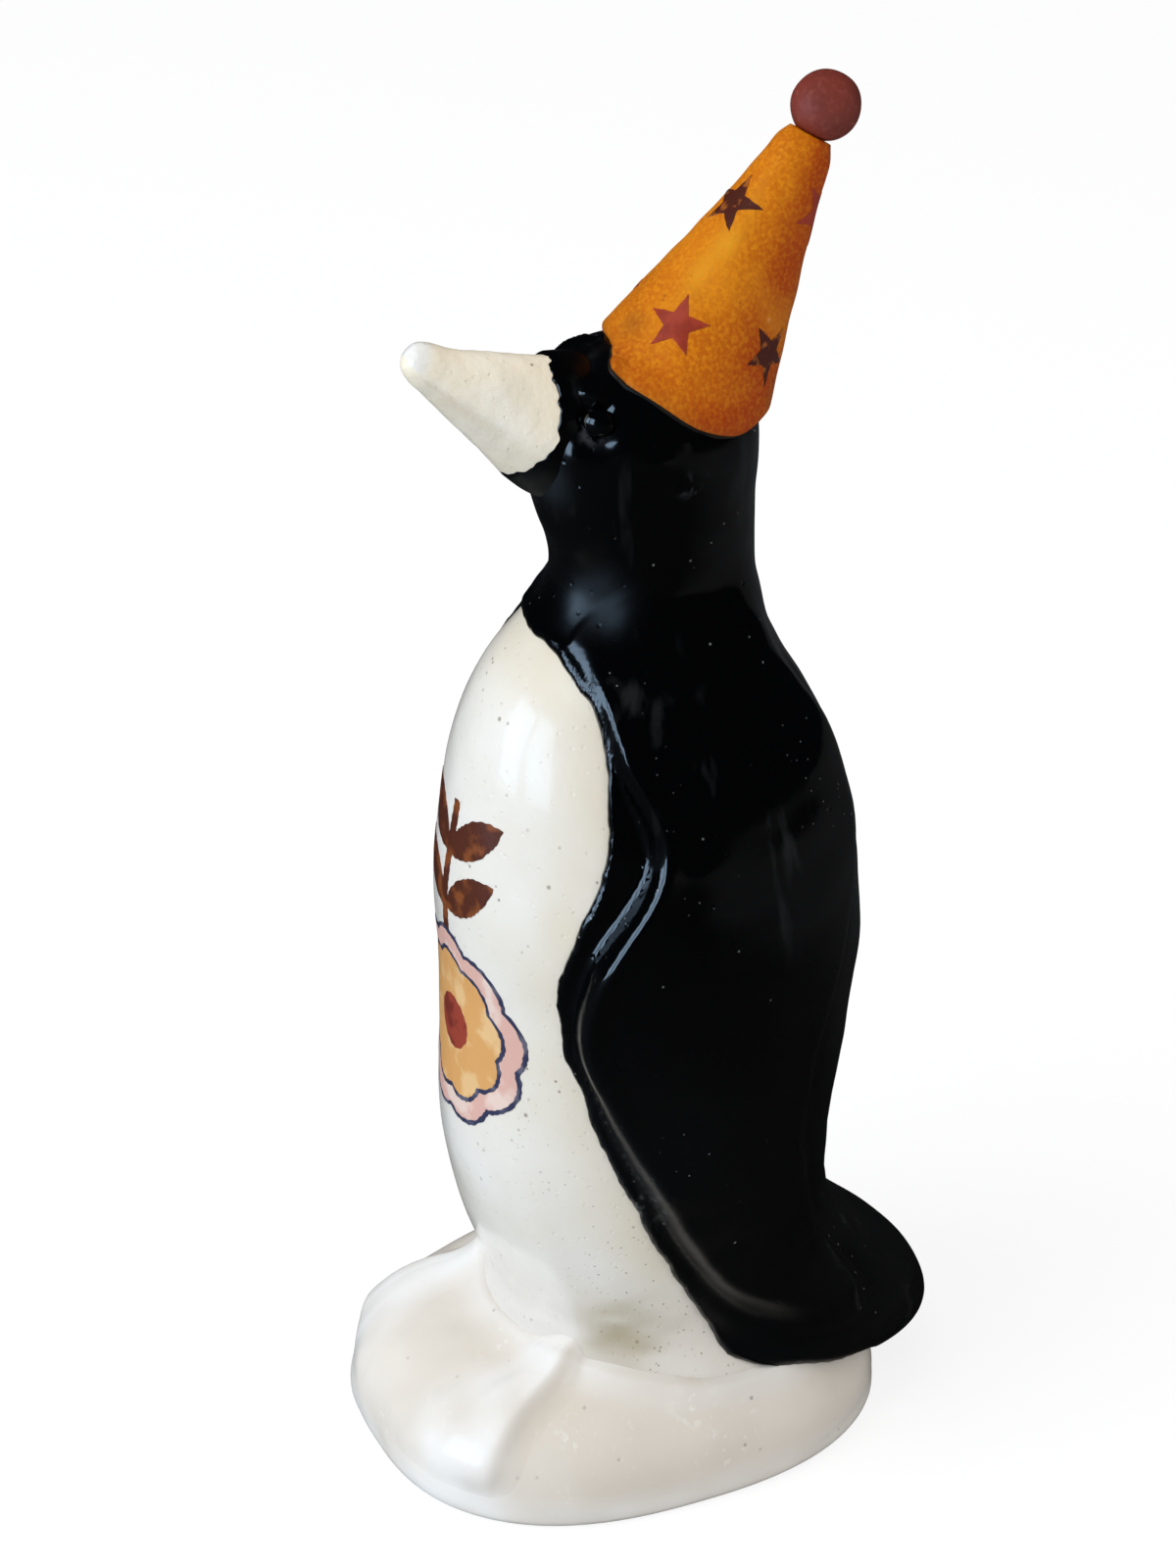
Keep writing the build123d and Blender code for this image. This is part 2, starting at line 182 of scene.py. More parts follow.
def make_piece(name, points, triangles, finish, slot, node, attributes=None, normals=None):
    """A smooth object, from points in millimetres, which stands for the named node."""
    used, packed = np.unique(triangles, return_inverse=True)
    mesh = bpy.data.meshes.new(name)
    mesh.from_pydata((points[used] * MM).tolist(), [], packed.reshape(-1, 3).tolist())
    for key, values in (attributes or {}).items():
        layer = mesh.attributes.new(key, "FLOAT", "POINT")
        layer.data.foreach_set("value", np.asarray(values, np.float32)[used])
    mesh.polygons.foreach_set("use_smooth", [True] * len(mesh.polygons))
    mesh.materials.append(finish.material)
    mesh.update()
    if normals is not None:
        mesh.normals_split_custom_set_from_vertices(normals[used].tolist())
    piece = bpy.data.objects.new(name, mesh)
    bpy.context.scene.collection.objects.link(piece)
    dress(piece, slot, node)


def blend_colour(tree, first, second, share):
    """Mixes two colours, each a tuple or a socket, by a socket."""
    node = tree.nodes.new("ShaderNodeMix")
    node.data_type = "RGBA"
    tree.links.new(share, node.inputs[0])
    for socket, colour in ((node.inputs[6], first), (node.inputs[7], second)):
        if isinstance(colour, tuple):
            socket.default_value = (*colour, 1)
        else:
            tree.links.new(colour, socket)
    return node.outputs[2]


class Finish:
    """A procedural material in the making. Each coat of paint lies over the ones before it."""

    def __init__(self, name, colour, roughness, coat=0.0):
        self.material = bpy.data.materials.new(name)
        self.material.use_nodes = True
        self.tree = self.material.node_tree
        self.shader = self.tree.nodes["Principled BSDF"]
        self.colour = colour
        self.set("Roughness", roughness)
        self.set("Coat Weight", coat)
        self.set("Coat Roughness", 0.04)
        self.place = self.tree.nodes.new("ShaderNodeTexCoord").outputs["Object"]

    def set(self, name, value):
        self.shader.inputs[name].default_value = value

    def link(self, socket, name):
        self.tree.links.new(socket, self.shader.inputs[name])

    def add(self, kind, numbers, name, socket):
        """Adds a node with constant inputs and one that is linked."""
        node = self.tree.nodes.new(kind)
        for key, number in numbers.items():
            node.inputs[key].default_value = number
        self.tree.links.new(socket, node.inputs[name])
        return node

    def noise(self, scale, detail=3.0, stretch=None):
        place = self.place
        if stretch:
            place = self.add("ShaderNodeMapping", {"Scale": stretch}, "Vector", place).outputs["Vector"]
        numbers = {"Scale": scale, "Detail": detail}
        return self.add("ShaderNodeTexNoise", numbers, "Vector", place).outputs["Fac"]

    def remap(self, value, low, high, to_low=0.0, to_high=1.0):
        limits = {"From Min": low, "From Max": high, "To Min": to_low, "To Max": to_high}
        return self.add("ShaderNodeMapRange", limits, "Value", value).outputs["Result"]

    def clouds(self, scale, detail, low, high, most=1.0):
        """Soft patches, from 0 where the noise is low up to the most where it is high."""
        return self.remap(self.noise(scale, detail), low, high, 0.0, most)

    def dots(self, scale, size, soft=0.3):
        """1 in round dots, which lie at random, and 0 between them."""
        cells = self.add("ShaderNodeTexVoronoi", {"Scale": scale}, "Vector", self.place)
        return self.remap(cells.outputs["Distance"], size, size * soft)

    def pits(self, scale, size, soft):
        """0 in dots and 1 between them, as a height."""
        return self.remap(self.dots(scale, size, soft), 0, 1, 1, 0)

    def combine(self, operation, first, second):
        node = self.tree.nodes.new("ShaderNodeMath")
        node.operation = operation
        self.tree.links.new(first, node.inputs[0])
        self.tree.links.new(second, node.inputs[1])
        return node.outputs["Value"]

    def multiply(self, first, second):
        return self.combine("MULTIPLY", first, second)

    def specks(self, scale, size, patches):
        """Dots that keep to some patches."""
        return self.multiply(self.dots(scale, size), patches)

    def given(self, name):
        """A value that the points of a piece carry."""
        node = self.tree.nodes.new("ShaderNodeAttribute")
        node.attribute_name = name
        return node.outputs["Fac"]

    def paint(self, colour, share):
        self.colour = blend_colour(self.tree, self.colour, colour, share)
        self.link(self.colour, "Base Color")

    def bump(self, *layers):
        """Stacks height layers of (socket, distance in metres, strength)."""
        normal = None
        for height, distance, strength in layers:
            node = self.add("ShaderNodeBump", {"Distance": distance, "Strength": strength}, "Height", height)
            if normal:
                self.tree.links.new(normal, node.inputs["Normal"])
            normal = node.outputs["Normal"]
        self.link(normal, "Normal")


row_levels = SEAT_LEVEL + BODY_ROWS[:, 0] * BODY_HEIGHT
row_fronts, row_backs = BODY_ROWS[:, 1] * BODY_DEPTH, BODY_ROWS[:, 2] * BODY_DEPTH
row_widths = BODY_ROWS[:, 3] * BODY_WIDTH / 2
row_marks = chord_marks(row_levels, (row_fronts + row_backs) / 2, row_widths)
neck_mark = np.interp(NECK_LEVEL, row_levels, row_marks)
marks = np.concatenate([np.linspace(0, neck_mark, ROWS_BELOW),
                        np.linspace(neck_mark, row_marks[-1], ROWS_ABOVE)[1:]])
ROWS = len(marks)
levels, fronts, backs, half_widths = (
    spline(row_marks, row, marks)[:, None] for row in (row_levels, row_fronts, row_backs, row_widths))
half_depths = (fronts + backs) / 2
centres = BODY_SETBACK + (backs - fronts) / 2
turns = full_turn(COLUMNS)
# the pole that the rows turn round: the middle of the body, and of the tail below its seat
TAIL_POLE = 36.0
poles = centres + (TAIL_POLE - centres) * ease((27 - levels) / 16)


def reach(centre, half_width, half_depth):
    """Distance from the pole to an upright ellipse in each direction; 0 where it is missed."""
    s, c = np.sin(turns), np.cos(turns)
    shift = poles - centre
    a = s ** 2 / half_width ** 2 + c ** 2 / half_depth ** 2
    b = c * shift / half_depth ** 2
    inside = b ** 2 - a * (shift ** 2 / half_depth ** 2 - 1)
    return np.where(inside > 0, (b + np.sqrt(np.maximum(inside, 0))) / a, 0)


def to_points(distance):
    """Points at these distances from the poles of their rows."""
    return np.stack([distance * np.sin(turns), poles - distance * np.cos(turns),
                     np.broadcast_to(levels, distance.shape)], -1)


body_reach = reach(centres, half_widths, half_depths)
FLARE, FLARE_TOP, FLARE_FADE = 7.0, 38.0, 18.0
flare = FLARE * ease((FLARE_TOP - levels) / FLARE_FADE) ** 2
body_surface = to_points(body_reach + flare)
side_turn = np.degrees(np.abs(turns)) + 0 * levels
# soft ridge of the thigh, from the belly down to the ankle: level and turn, level and height
THIGH_TURNS = [(30, 43), (38, 39), (50, 36), (62, 33), (72, 29), (84, 24)]
THIGH_HEIGHTS = [(24, 0.6), (32, 1.1), (50, 0.9), (66, 0.6), (84, 0.0)]
THIGH_TURN_LENGTH, THIGH_WIDTH = 0.55, 4.0
from_thigh = (side_turn - np.interp(levels, *zip(*THIGH_TURNS))) * THIGH_TURN_LENGTH
thigh = np.interp(levels, *zip(*THIGH_HEIGHTS)) * bell(from_thigh / THIGH_WIDTH)
hand = 0.22 * wobble(body_surface, 34, 1) + 0.06 * wobble(body_surface, 11, 2)
body_normals = grid_normals(body_surface)
body_surface = body_surface + body_normals * (thigh + hand)[..., None]
body_normals = grid_normals(body_surface)

# the line where the black glaze ends: turn from the front in degrees, level
EDGE = np.array([
    (0, 171.6), (12, 171.0), (24, 170.0), (34, 168.4), (44, 165.8), (52, 161.4), (55.5, 154.5),
    (56, 148), (55.5, 142), (53, 134.5), (48, 125.8), (43, 117.1), (40.6, 108), (42, 99),
    (46.5, 91.5), (56, 76.5), (65, 65), (73.2, 53), (83, 38), (88, 30), (93, 23), (97, 20),
    (101, 16), (106, 11), (112, 7),
])
TURN_LENGTH = 0.64


def smooth_line(marks, count):
    """A curve through marks of turn and level, in millimetres across and up."""
    numbers, fine = np.arange(len(marks)), np.linspace(0, len(marks) - 1, count)
    return np.stack([spline(numbers, marks[:, 0], fine) * TURN_LENGTH, spline(numbers, marks[:, 1], fine)], 1)


edge_line = smooth_line(EDGE, 260)


def line_distance(line):
    """Distance of each grid point from a line in the plane of turn length and level."""
    flat = np.stack([side_turn * TURN_LENGTH, np.broadcast_to(levels, side_turn.shape)], -1)
    best = np.full(side_turn.shape, 1e9)
    for start, end in zip(line[:-1], line[1:]):
        along = end - start
        share = np.clip(((flat - start) @ along) / (along @ along), 0, 1)
        gap = flat - start - share[..., None] * along
        best = np.minimum(best, np.hypot(gap[..., 0], gap[..., 1]))
    return best


edge_turn_at = np.interp(levels[:, 0], edge_line[::-1, 1], edge_line[::-1, 0])[:, None]
black_side = (side_turn * TURN_LENGTH > edge_turn_at) | (levels > EDGE[0, 1])
edge_wobble = 0.35 * wobble(body_surface, 9, 3) + 0.18 * wobble(body_surface, 3.2, 4)
glazed = np.where(black_side, 1, -1) * line_distance(edge_line) + edge_wobble
# brushed a little higher on the right side of the breast
HIGHER, HIGHER_TURN, HIGHER_LEVEL = 6.0, -47, 167
glazed = glazed - HIGHER * bell((np.degrees(turns) - HIGHER_TURN) / 20, (levels - HIGHER_LEVEL) / 9)

SPECK = (0.16, 0.10, 0.06)
white = Finish("white_glaze", (0.82, 0.795, 0.745), 0.22, 0.35)
white.paint((0.76, 0.71, 0.62), white.clouds(38, 4, 0.35, 0.7))
white.paint((0.74, 0.66, 0.51), white.given("warm"))
white.paint((0.79, 0.74, 0.68), white.given("low"))
# painted shade: darker in the corner over the ankle, where the body meets the mound
white.paint((0.42, 0.36, 0.23), white.given("shade_and_stain"))
white.paint(SPECK, white.specks(420, 0.17, white.clouds(90, 3, 0.55, 0.62, 0.8)))
white.paint(SPECK, white.specks(150, 0.09, white.clouds(60, 3, 0.52, 0.6, 0.7)))
white.paint((0.20, 0.14, 0.08), white.specks(620, 0.16, white.given("dusty")))
white.bump((white.noise(110, 3), 0.0007, 0.22), (white.noise(700, 2), 0.0002, 0.2),
           (white.pits(420, 0.2, 0.1), 0.0003, 0.35))

# the clay lies a little lower where the black glaze hides it
HIDDEN_DEPTH = 1.8
white_surface = body_surface - body_normals * (HIDDEN_DEPTH * ease((glazed - 1.5) / 3))[..., None]
# every other row and column is enough for the smooth clay
thin, half = np.unique(np.append(np.arange(0, ROWS, 2), ROWS - 1)), COLUMNS // 2
outer = white_surface[thin, ::2].reshape(-1, 3)
inner = (body_surface - body_normals * BODY_WALL)[thin, ::2].reshape(-1, 3)
inner[:, 2] = np.minimum(inner[:, 2], outer[:, 2].max() - BODY_WALL)
LOWER_EDGE, CROWN_LIFT = 17, 0.1
above_edge = np.repeat(levels[thin, 0] > LOWER_EDGE, half)
triangles = grid_triangles(len(thin), half)
triangles = triangles[above_edge[triangles].all(1)]
crown = ring_of(len(thin) - 1, half)
crown_middle = outer[crown].mean(0) + (0, 0, CROWN_LIFT)
outer, triangles = cap(outer, triangles, crown, crown_middle, False)
inner = np.concatenate([inner, [crown_middle - (0, 0, BODY_WALL)]])
# creamy beside the black glaze, pinkish low down, specked with dust, and painted shade over the ankle
warm = 0.75 * bell((glazed + 1.5) / 7.0) * ease((glazed + 40) / 30)
warm = warm * (0.75 + 0.25 * wobble(body_surface, 14, 5))
low = ease((50 - levels) / 22) * (0.8 + 0.2 * wobble(body_surface, 18, 6))
dusty = 0.9 * ease((110 - levels) / 70) * ease((side_turn - 12) / 20) * ease((glazed + 26) / 14)
# where the painted shade in the ankle's corner lies, and how far it reaches
ANKLE_SHADE_PLACE, ANKLE_SHADE_RADIUS = (26.5, -10, 33), 8.5
shade_and_stain = 0.95 * bell(gaps_to(body_surface, ANKLE_SHADE_PLACE) / ANKLE_SHADE_RADIUS)
shade_and_stain = shade_and_stain * (0.8 + 0.4 * wobble(body_surface, 7, 9))
shades = {"warm": warm, "low": low, "dusty": dusty, "shade_and_stain": shade_and_stain}
points, faces = shell(outer, inner, triangles)
make_piece("figurine_body", points, faces, white, "white_glaze", "body_shell",
           {name: np.tile(np.append(shade[thin, ::2].ravel(), 0), 2) for name, shade in shades.items()})

# Mantle, wings and tail: one run of thick black glaze, brushed over the head, neck, back,
# the two raised wings and the tail, so they are cut from one surface. It stands proud of the
# white glaze and ends in a rounded lip.
GLAZE = 0.9
TAIL_REACH, TAIL_HALF_WIDTH, TAIL_UNDERSIDE, TAIL_TOP = 61.3, 33.0, 6.96, 46.95
TAIL_ROWS = np.array([
    (0.000, 0.219, 0.992, 0.55), (0.075, 0.065, 1.000, 0.71), (0.175, -0.050, 0.980, 0.86),
    (0.325, -0.196, 0.924, 1.00), (0.525, -0.292, 0.784, 0.985), (0.775, -0.372, 0.621, 0.94),
    (1.000, -0.418, 0.537, 0.90),
])


def cut(points, triangles, keep, extras=(), both=False):
    """Cuts a mesh along the line where keep is 0 and drops the side below 0, or keeps both.
    Extras are values of the points, and are carried on to the new points on the line."""
    inside = keep[triangles] > 0
    count = inside.sum(1)
    whole = (count == 3) | (both & (count == 0))
    kept, ends = [triangles[whole]], []
    for wanted in (1, 2):
        chosen = triangles[count == wanted]
        odd = inside[count == wanted] if wanted == 1 else ~inside[count == wanted]
        first = odd.argmax(1)
        rows = np.arange(len(chosen))
        a, b, c = (chosen[rows, (first + k) % 3] for k in range(3))
        ends.append((a, b, c))
    pairs = np.concatenate([np.stack([a, x], 1) for a, b, c in ends for x in (b, c)])
    unique, index = np.unique(np.sort(pairs, 1), axis=0, return_inverse=True)
    index = index.ravel() + len(points)
    weight = keep[unique[:, 0]] / (keep[unique[:, 0]] - keep[unique[:, 1]])
    start = 0
    for number, (a, b, c) in enumerate(ends):
        ab, ac = index[start:start + len(a)], index[start + len(a):start + 2 * len(a)]
        start += 2 * len(a)
        if both or number == 0:
            kept.append(np.stack([a, ab, ac], 1))
        if both or number == 1:
            kept += [np.stack([ab, b, c], 1), np.stack([ab, c, ac], 1)]

    def extend(values):
        share = weight.reshape((-1,) + (1,) * (values.ndim - 1))
        return np.concatenate([values, values[unique[:, 0]] * (1 - share) + values[unique[:, 1]] * share])
    return extend(points), np.concatenate(kept), [extend(extra) for extra in extras]


tail_share = np.clip((levels - TAIL_UNDERSIDE) / (TAIL_TOP - TAIL_UNDERSIDE), 0, 1)
tail_front, tail_back, tail_width = (
    spline(TAIL_ROWS[:, 0], TAIL_ROWS[:, k], tail_share) for k in (1, 2, 3))
tail_reach = reach(BODY_SETBACK + (tail_back + tail_front) / 2 * TAIL_REACH,
                   tail_width * TAIL_HALF_WIDTH, (tail_back - tail_front) / 2 * TAIL_REACH)
TAIL_SLOPE = 1.1
tail_reach = tail_reach - np.maximum(levels - TAIL_TOP, 0) * TAIL_SLOPE
plain_reach = body_reach + flare
seated = ease((levels - 18) / 8)
seen_reach = plain_reach * seated + np.minimum(plain_reach, tail_reach) * (1 - seated)
# the tail runs into the back in a hollow curve
HOLLOW = 3.0
both_reach = (seen_reach + tail_reach + np.sqrt((seen_reach - tail_reach) ** 2 + HOLLOW ** 2)) / 2
tail_push = (both_reach - plain_reach) * ease((78 - levels) / 22)
tail_push = np.where(levels < 20, both_reach - plain_reach, np.maximum(tail_push, 0))

# the wing's outline: turn from the front in degrees, level
WING = np.array([
    (26, 171), (40, 168), (52, 162), (60, 154), (66, 147), (68.5, 141), (66, 134), (59, 126.5),
    (51.5, 118), (47, 109.5), (46.5, 101), (52, 91.5), (61, 79), (70.5, 68.5), (81, 54.5),
    (95, 40), (113, 30.5), (131, 26.5), (141, 31), (138, 45), (130, 60), (124, 74), (122, 90),
    (127, 104), (138, 118), (150, 134), (156, 150), (150, 168), (128, 182), (90, 188),
    (52, 184), (30, 177),
])
wing_line = smooth_line(np.concatenate([WING, WING[:1]]), 300)
flat_x, flat_y = side_turn * TURN_LENGTH, levels + 0 * side_turn
crossings = np.zeros(side_turn.shape, int)
for (x0, y0), (x1, y1) in zip(wing_line[:-1], wing_line[1:]):
    spans = (y0 > flat_y) != (y1 > flat_y)
    with np.errstate(divide="ignore", invalid="ignore"):
        crossings += spans & (flat_x < (x1 - x0) * (flat_y - y0) / (y1 - y0) + x0)
wing_depth = np.where(crossings % 2 == 1, 1, -1) * line_distance(wing_line)
# how far the wing stands out: level, height
WING_RAISED = [
    (30, 3.2), (60, 4.0), (104, 4.2), (122, 4.0), (140, 3.2), (155, 2.4), (167, 1.4), (178, 0.4),
    (186, 0),
]
raised = np.interp(levels, *zip(*WING_RAISED))
leading = ease((120 - side_turn) / 30)
plateau = ease((wing_depth + 1.2) / (3.6 + 5.0 * (1 - leading)))
# a rolled leading edge with a groove before it, and a fold along the trailing edge
roll = 0.9 * leading * bell((wing_depth - 2.8) / 2.2) * ease((176 - levels) / 14)
roll = roll * (0.10 + 0.90 * ease((levels - 62) / 40))
groove = -0.5 * bell((wing_depth + 2.2) / 1.5) * ease((172 - levels) / 16)
fold = 0.9 * (1 - leading) * bell((wing_depth - 3.5) / 3.0) * ease((125 - levels) / 30)
neck_crease = -0.10 * bell((levels - 180.2) / 2.6)
wing_relief = raised * plateau + roll + groove + fold + neck_crease

# lumps and hollows of the face, mirrored: turn, level, radius, height
FACE = [
    (40, 214.6, 4.6, -1.3), (28, 209.8, 3.6, 1.1), (56, 211.0, 3.4, 0.8), (73, 208.0, 2.2, 0.6),
    (88, 211.2, 1.3, 0.45), (66, 216.5, 3.0, -0.5), (12, 205.0, 4.0, 0.5),
]
# brow over the eye
BROW = [(14, 219.6), (21, 219.8), (27, 218.6), (37, 218.6), (45, 220.2), (46, 222.2)]


def surface_point(turn, level):
    """The point of the body nearest to a turn from the front and a level."""
    row = int(np.abs(levels[:, 0] - level).argmin())
    column = int(np.abs(turns[0] - math.radians(turn)).argmin())
    return body_surface[row, column]


mirrored = body_surface.copy()
mirrored[..., 0] = np.abs(mirrored[..., 0])
face_relief = np.zeros(side_turn.shape)
for turn, level, radius, height in FACE:
    face_relief += height * bell(gaps_to(mirrored, surface_point(turn, level)) / radius)
brow_points = [surface_point(*mark) for mark in BROW]
gap = np.full(side_turn.shape, 1e9)
for start, end in zip(brow_points[:-1], brow_points[1:]):
    for share in np.linspace(0, 1, 5):
        gap = np.minimum(gap, gaps_to(mirrored, start + share * (end - start)))
face_relief += 0.9 * bell(gap / 1.1) - 0.25 * bell((gap - 2.6) / 1.0)

rise = ease(glazed / 4.5)
hand = 0.30 * wobble(body_surface, 26, 7) + 0.10 * wobble(body_surface, 9, 8)
pushed = to_points(plain_reach + tail_push * rise) - to_points(plain_reach)
black_normals = grid_normals(body_surface + pushed)
relief = rise * (wing_relief + face_relief + hand)
black_surface = body_surface + pushed + black_normals * relief[..., None]

black = Finish("black_glaze", (0.0006, 0.0007, 0.0009), 0.07)
black.set("IOR", 1.75)
# painted sheen: the black is greyed low down, most towards the back
black.paint((0.0048, 0.0048, 0.0053), black.given("film"))
runs = black.remap(black.noise(24, 5, (6, 6, 0.9)), 0.60, 0.72)
black.paint((0.30, 0.32, 0.33), black.multiply(runs, black.clouds(17, 2, 0.5, 0.62, 0.05)))
# pale specks: dust, and painted glints of small pimples in the glaze
black.paint((0.34, 0.35, 0.34), black.specks(240, 0.075, black.clouds(45, 3, 0.5, 0.6, 0.6)))
scratches = black.clouds(330, 5, 0.52, 0.66, 0.5)
black.paint((0.30, 0.32, 0.34), black.multiply(scratches, black.given("scuff")))
# pale specks: dust, and painted glints of small pimples in the glaze
black.paint((0.36, 0.37, 0.37), black.specks(460, 0.10, black.clouds(33, 3, 0.54, 0.62, 0.5)))
shine = black.remap(black.noise(60, 4), 0.3, 0.75, 0.05, 0.16)
black.link(black.combine("ADD", shine, black.given("dull")), "Roughness")
black.bump((black.noise(70, 2), 0.0008, 0.10), (black.noise(260, 2), 0.0003, 0.10),
           (black.pits(210, 0.12, 0.1), 0.0003, 0.5))

tail_middle = np.array([0, 42, TAIL_UNDERSIDE])
LIP_RADIUS = 1.3
crown = ring_of(ROWS - 1, COLUMNS)
coat_points = black_surface.reshape(-1, 3)
crown_top = coat_points[crown].mean(0) + (0, 0, CROWN_LIFT)
coat_points, coat_faces = cap(coat_points, grid_triangles(ROWS, COLUMNS), ring_of(0, COLUMNS)[::-1],
                              tail_middle, False)
coat_points, coat_faces = cap(coat_points, coat_faces, crown, crown_top, False)
below = (white_surface - body_normals * 0.5).reshape(-1, 3)
below = np.concatenate([below, [tail_middle + (0, 0, 3), crown_middle - (0, 0, 0.6)]])
outwards = np.concatenate([black_normals.reshape(-1, 3), [(0, 0, -1), (0, 0, 1)]])
edge = np.append(glazed.ravel(), [50, 50])
wing_field = np.append(wing_depth.ravel(), [-50, -50]) + 0.6
tail_field = np.append((tail_push - 1.5 + 0.3 * (30 - levels)).ravel(), [50, -50])
tail_field = np.minimum(tail_field, 46 - coat_points[:, 2])
fields = [below, outwards, edge, wing_field, tail_field]
coat_points, coat_faces, fields = cut(coat_points, coat_faces, edge, fields)
# rows of points follow the glaze's edge to round its lip, and the seams part the pieces
for level in (0.12, 0.4, 0.8, 1.3, 2.0):
    coat_points, coat_faces, fields = cut(coat_points, coat_faces, fields[2] - level, fields, both=True)
for seam in (3, 4):
    coat_points, coat_faces, fields = cut(coat_points, coat_faces, fields[seam], fields, both=True)
below, outwards, edge, wing_field, tail_field = fields
outwards /= np.linalg.norm(outwards, axis=1, keepdims=True)
lip = np.sqrt(1 - (1 - np.clip(edge / LIP_RADIUS, 0, 1)) ** 2)
coat = GLAZE * lip + 0.25 * lip * bell((edge - 1.2) / 1.0)
coat_points = coat_points + outwards * coat[:, None]
coat_normals = vertex_normals(coat_points, coat_faces)
in_wing = wing_field[coat_faces].mean(1) > 0
in_tail = (tail_field[coat_faces].mean(1) > 0) & ~in_wing
on_left = coat_points[coat_faces].mean(1)[:, 0] > 0
# scuffed, and worn dull, in a few places: place, radius
SCUFFS = [((33.3, -8.7, 66), 3.2), ((32.5, -10, 57), 2.2), ((17.5, 6, 203), 1.8), ((12, -10.4, 213.6), 1.8)]
WORN = [((2, -7, 222.8), 5), ((5.5, -17.5, 202), 6), ((-5.5, -17.5, 202), 6),
        ((11.3, -8.4, 181.2), 8), ((-11.3, -8.4, 181.2), 8)]


def spots(points, marks):
    """The sum of round soft spots of (place, radius)."""
    return sum(bell(gaps_to(points, place) / radius) for place, radius in marks)


def black_shades(points):
    """How dull and scuffed the black glaze is, and a painted sheen that greys it low down at the back."""
    low = ease((125 - points[:, 2]) / 50)
    # painted sheen, strongest low down at the back
    film = low * (0.3 + 0.7 * ease((points[:, 1] - 20) / 35))
    return {"dull": 0.36 * low + 0.55 * spots(points, WORN), "scuff": spots(points, SCUFFS), "film": film}


def black_piece(name, faces, node):
    """One patch of the black glaze, from its surface down to the clay."""
    points, faces = shell(coat_points, below, faces)
    normals = np.concatenate([coat_normals, -coat_normals])
    make_piece(name, points, faces, black, "black_glaze", node, black_shades(points), normals)


black_piece("wing_left", coat_faces[in_wing & on_left], "left_wing")
black_piece("wing_right", coat_faces[in_wing & ~on_left], "right_wing")
black_piece("tail_skirt", coat_faces[in_tail], "tail")

# Base mound: a hollow pressed mound, squarish oval in plan, in a pinkish beige glaze that pools
# white on the ridges. Each foot is a webbed fan of clay luted on top, glazed with the mound.
BASE_WIDTH, BASE_LENGTH, BASE_HEIGHT, SQUARENESS = 86.4, 104.2, 24.0, 2.47
BASE_WALL, HOLLOW_TOP = 5.0, 17
MOUND_ROWS = np.array([
    (0.00, 0.962), (0.05, 0.985), (0.13, 1.000), (0.33, 1.000), (0.50, 0.978), (0.67, 0.925),
    (0.83, 0.830), (0.95, 0.690), (1.00, 0.540),
])
MOUND_ROUND, MOUND_RINGS, TOP_RINGS, MIDDLE_SHARE = 320, 120, 40, 0.02
MEAN_RADIUS = 47
mound_marks = chord_marks(MOUND_ROWS[:, 0] * BASE_HEIGHT, MOUND_ROWS[:, 1] * MEAN_RADIUS)
marks = np.linspace(0, mound_marks[-1], MOUND_RINGS)
heights = spline(mound_marks, MOUND_ROWS[:, 0], marks)[:, None] * BASE_HEIGHT
sizes = spline(mound_marks, MOUND_ROWS[:, 1], marks)[:, None]
inward = np.linspace(1, MIDDLE_SHARE, TOP_RINGS)[1:, None]
heights = np.concatenate([heights, np.full((len(inward), 1), BASE_HEIGHT)])
sizes = np.concatenate([sizes, sizes[-1] * inward])
around = full_turn(MOUND_ROUND)


def squarish(x):
    """Bends the sine or cosine of a circle towards that of a square with round corners."""
    return np.sign(x) * np.abs(x) ** (2 / SQUARENESS)


mound = np.stack([sizes * BASE_WIDTH / 2 * squarish(np.sin(around)),
                  -sizes * BASE_LENGTH / 2 * squarish(np.cos(around)),
                  np.clip(heights, 0, BASE_HEIGHT) + 0 * around], -1)
mound_normals = grid_normals(mound)
uneven = ease(mound[..., 2] / 5) * (0.45 * wobble(mound, 30, 11) + 0.10 * wobble(mound, 10, 12) - 0.40)
mound = mound + mound_normals * uneven[..., None]
mound_normals = grid_normals(mound)
# slip fills the corner between the mound and the body
FILLET_HEIGHT, FILLET_REACH = 2.8, 9.0
low_rows = int((levels[:, 0] < 50).sum())
body_foot = BVHTree.FromPolygons(body_surface[:low_rows].reshape(-1, 3).tolist(),
                                 grid_triangles(low_rows, COLUMNS).tolist())


def gap_to_body(points):
    """Distance of each point from the body's outside, 0 where it lies inside."""
    gaps = np.full(len(points), FILLET_REACH)
    for k, point in enumerate(points):
        nearest, facing, _, gap = body_foot.find_nearest(point, FILLET_REACH)
        if nearest is not None:
            gaps[k] = gap if (Vector(point) - nearest).dot(facing) > 0 else 0
    return gaps


body_gap = gap_to_body(mound.reshape(-1, 3)).reshape(mound.shape[:2])
mound = mound + mound_normals * (FILLET_HEIGHT * (1 - body_gap / FILLET_REACH) ** 3)[..., None]
mound_normals = grid_normals(mound)

# the left foot fans out from its ankle between an inner toe and an outer ridge, at these angles
ANKLE = (17.0, -12.0)
FOOT_INNER, FOOT_RIDGE, FOOT_END = -17.0, 25.0, 5.5


def from_ankle(points):
    """Distance from the nearer ankle and the angle round it from straight ahead, in degrees."""
    beside, ahead = np.abs(points[..., 0]) - ANKLE[0], ANKLE[1] - points[..., 1]
    return np.hypot(beside, ahead), np.degrees(np.arctan2(beside, ahead))


foot_along, foot_angle = from_ankle(mound)


def beside_ray(angle):
    """Distance in millimetres from a ray that leaves the ankle at an angle."""
    return foot_along * np.radians(np.clip(foot_angle - angle, -80, 80))


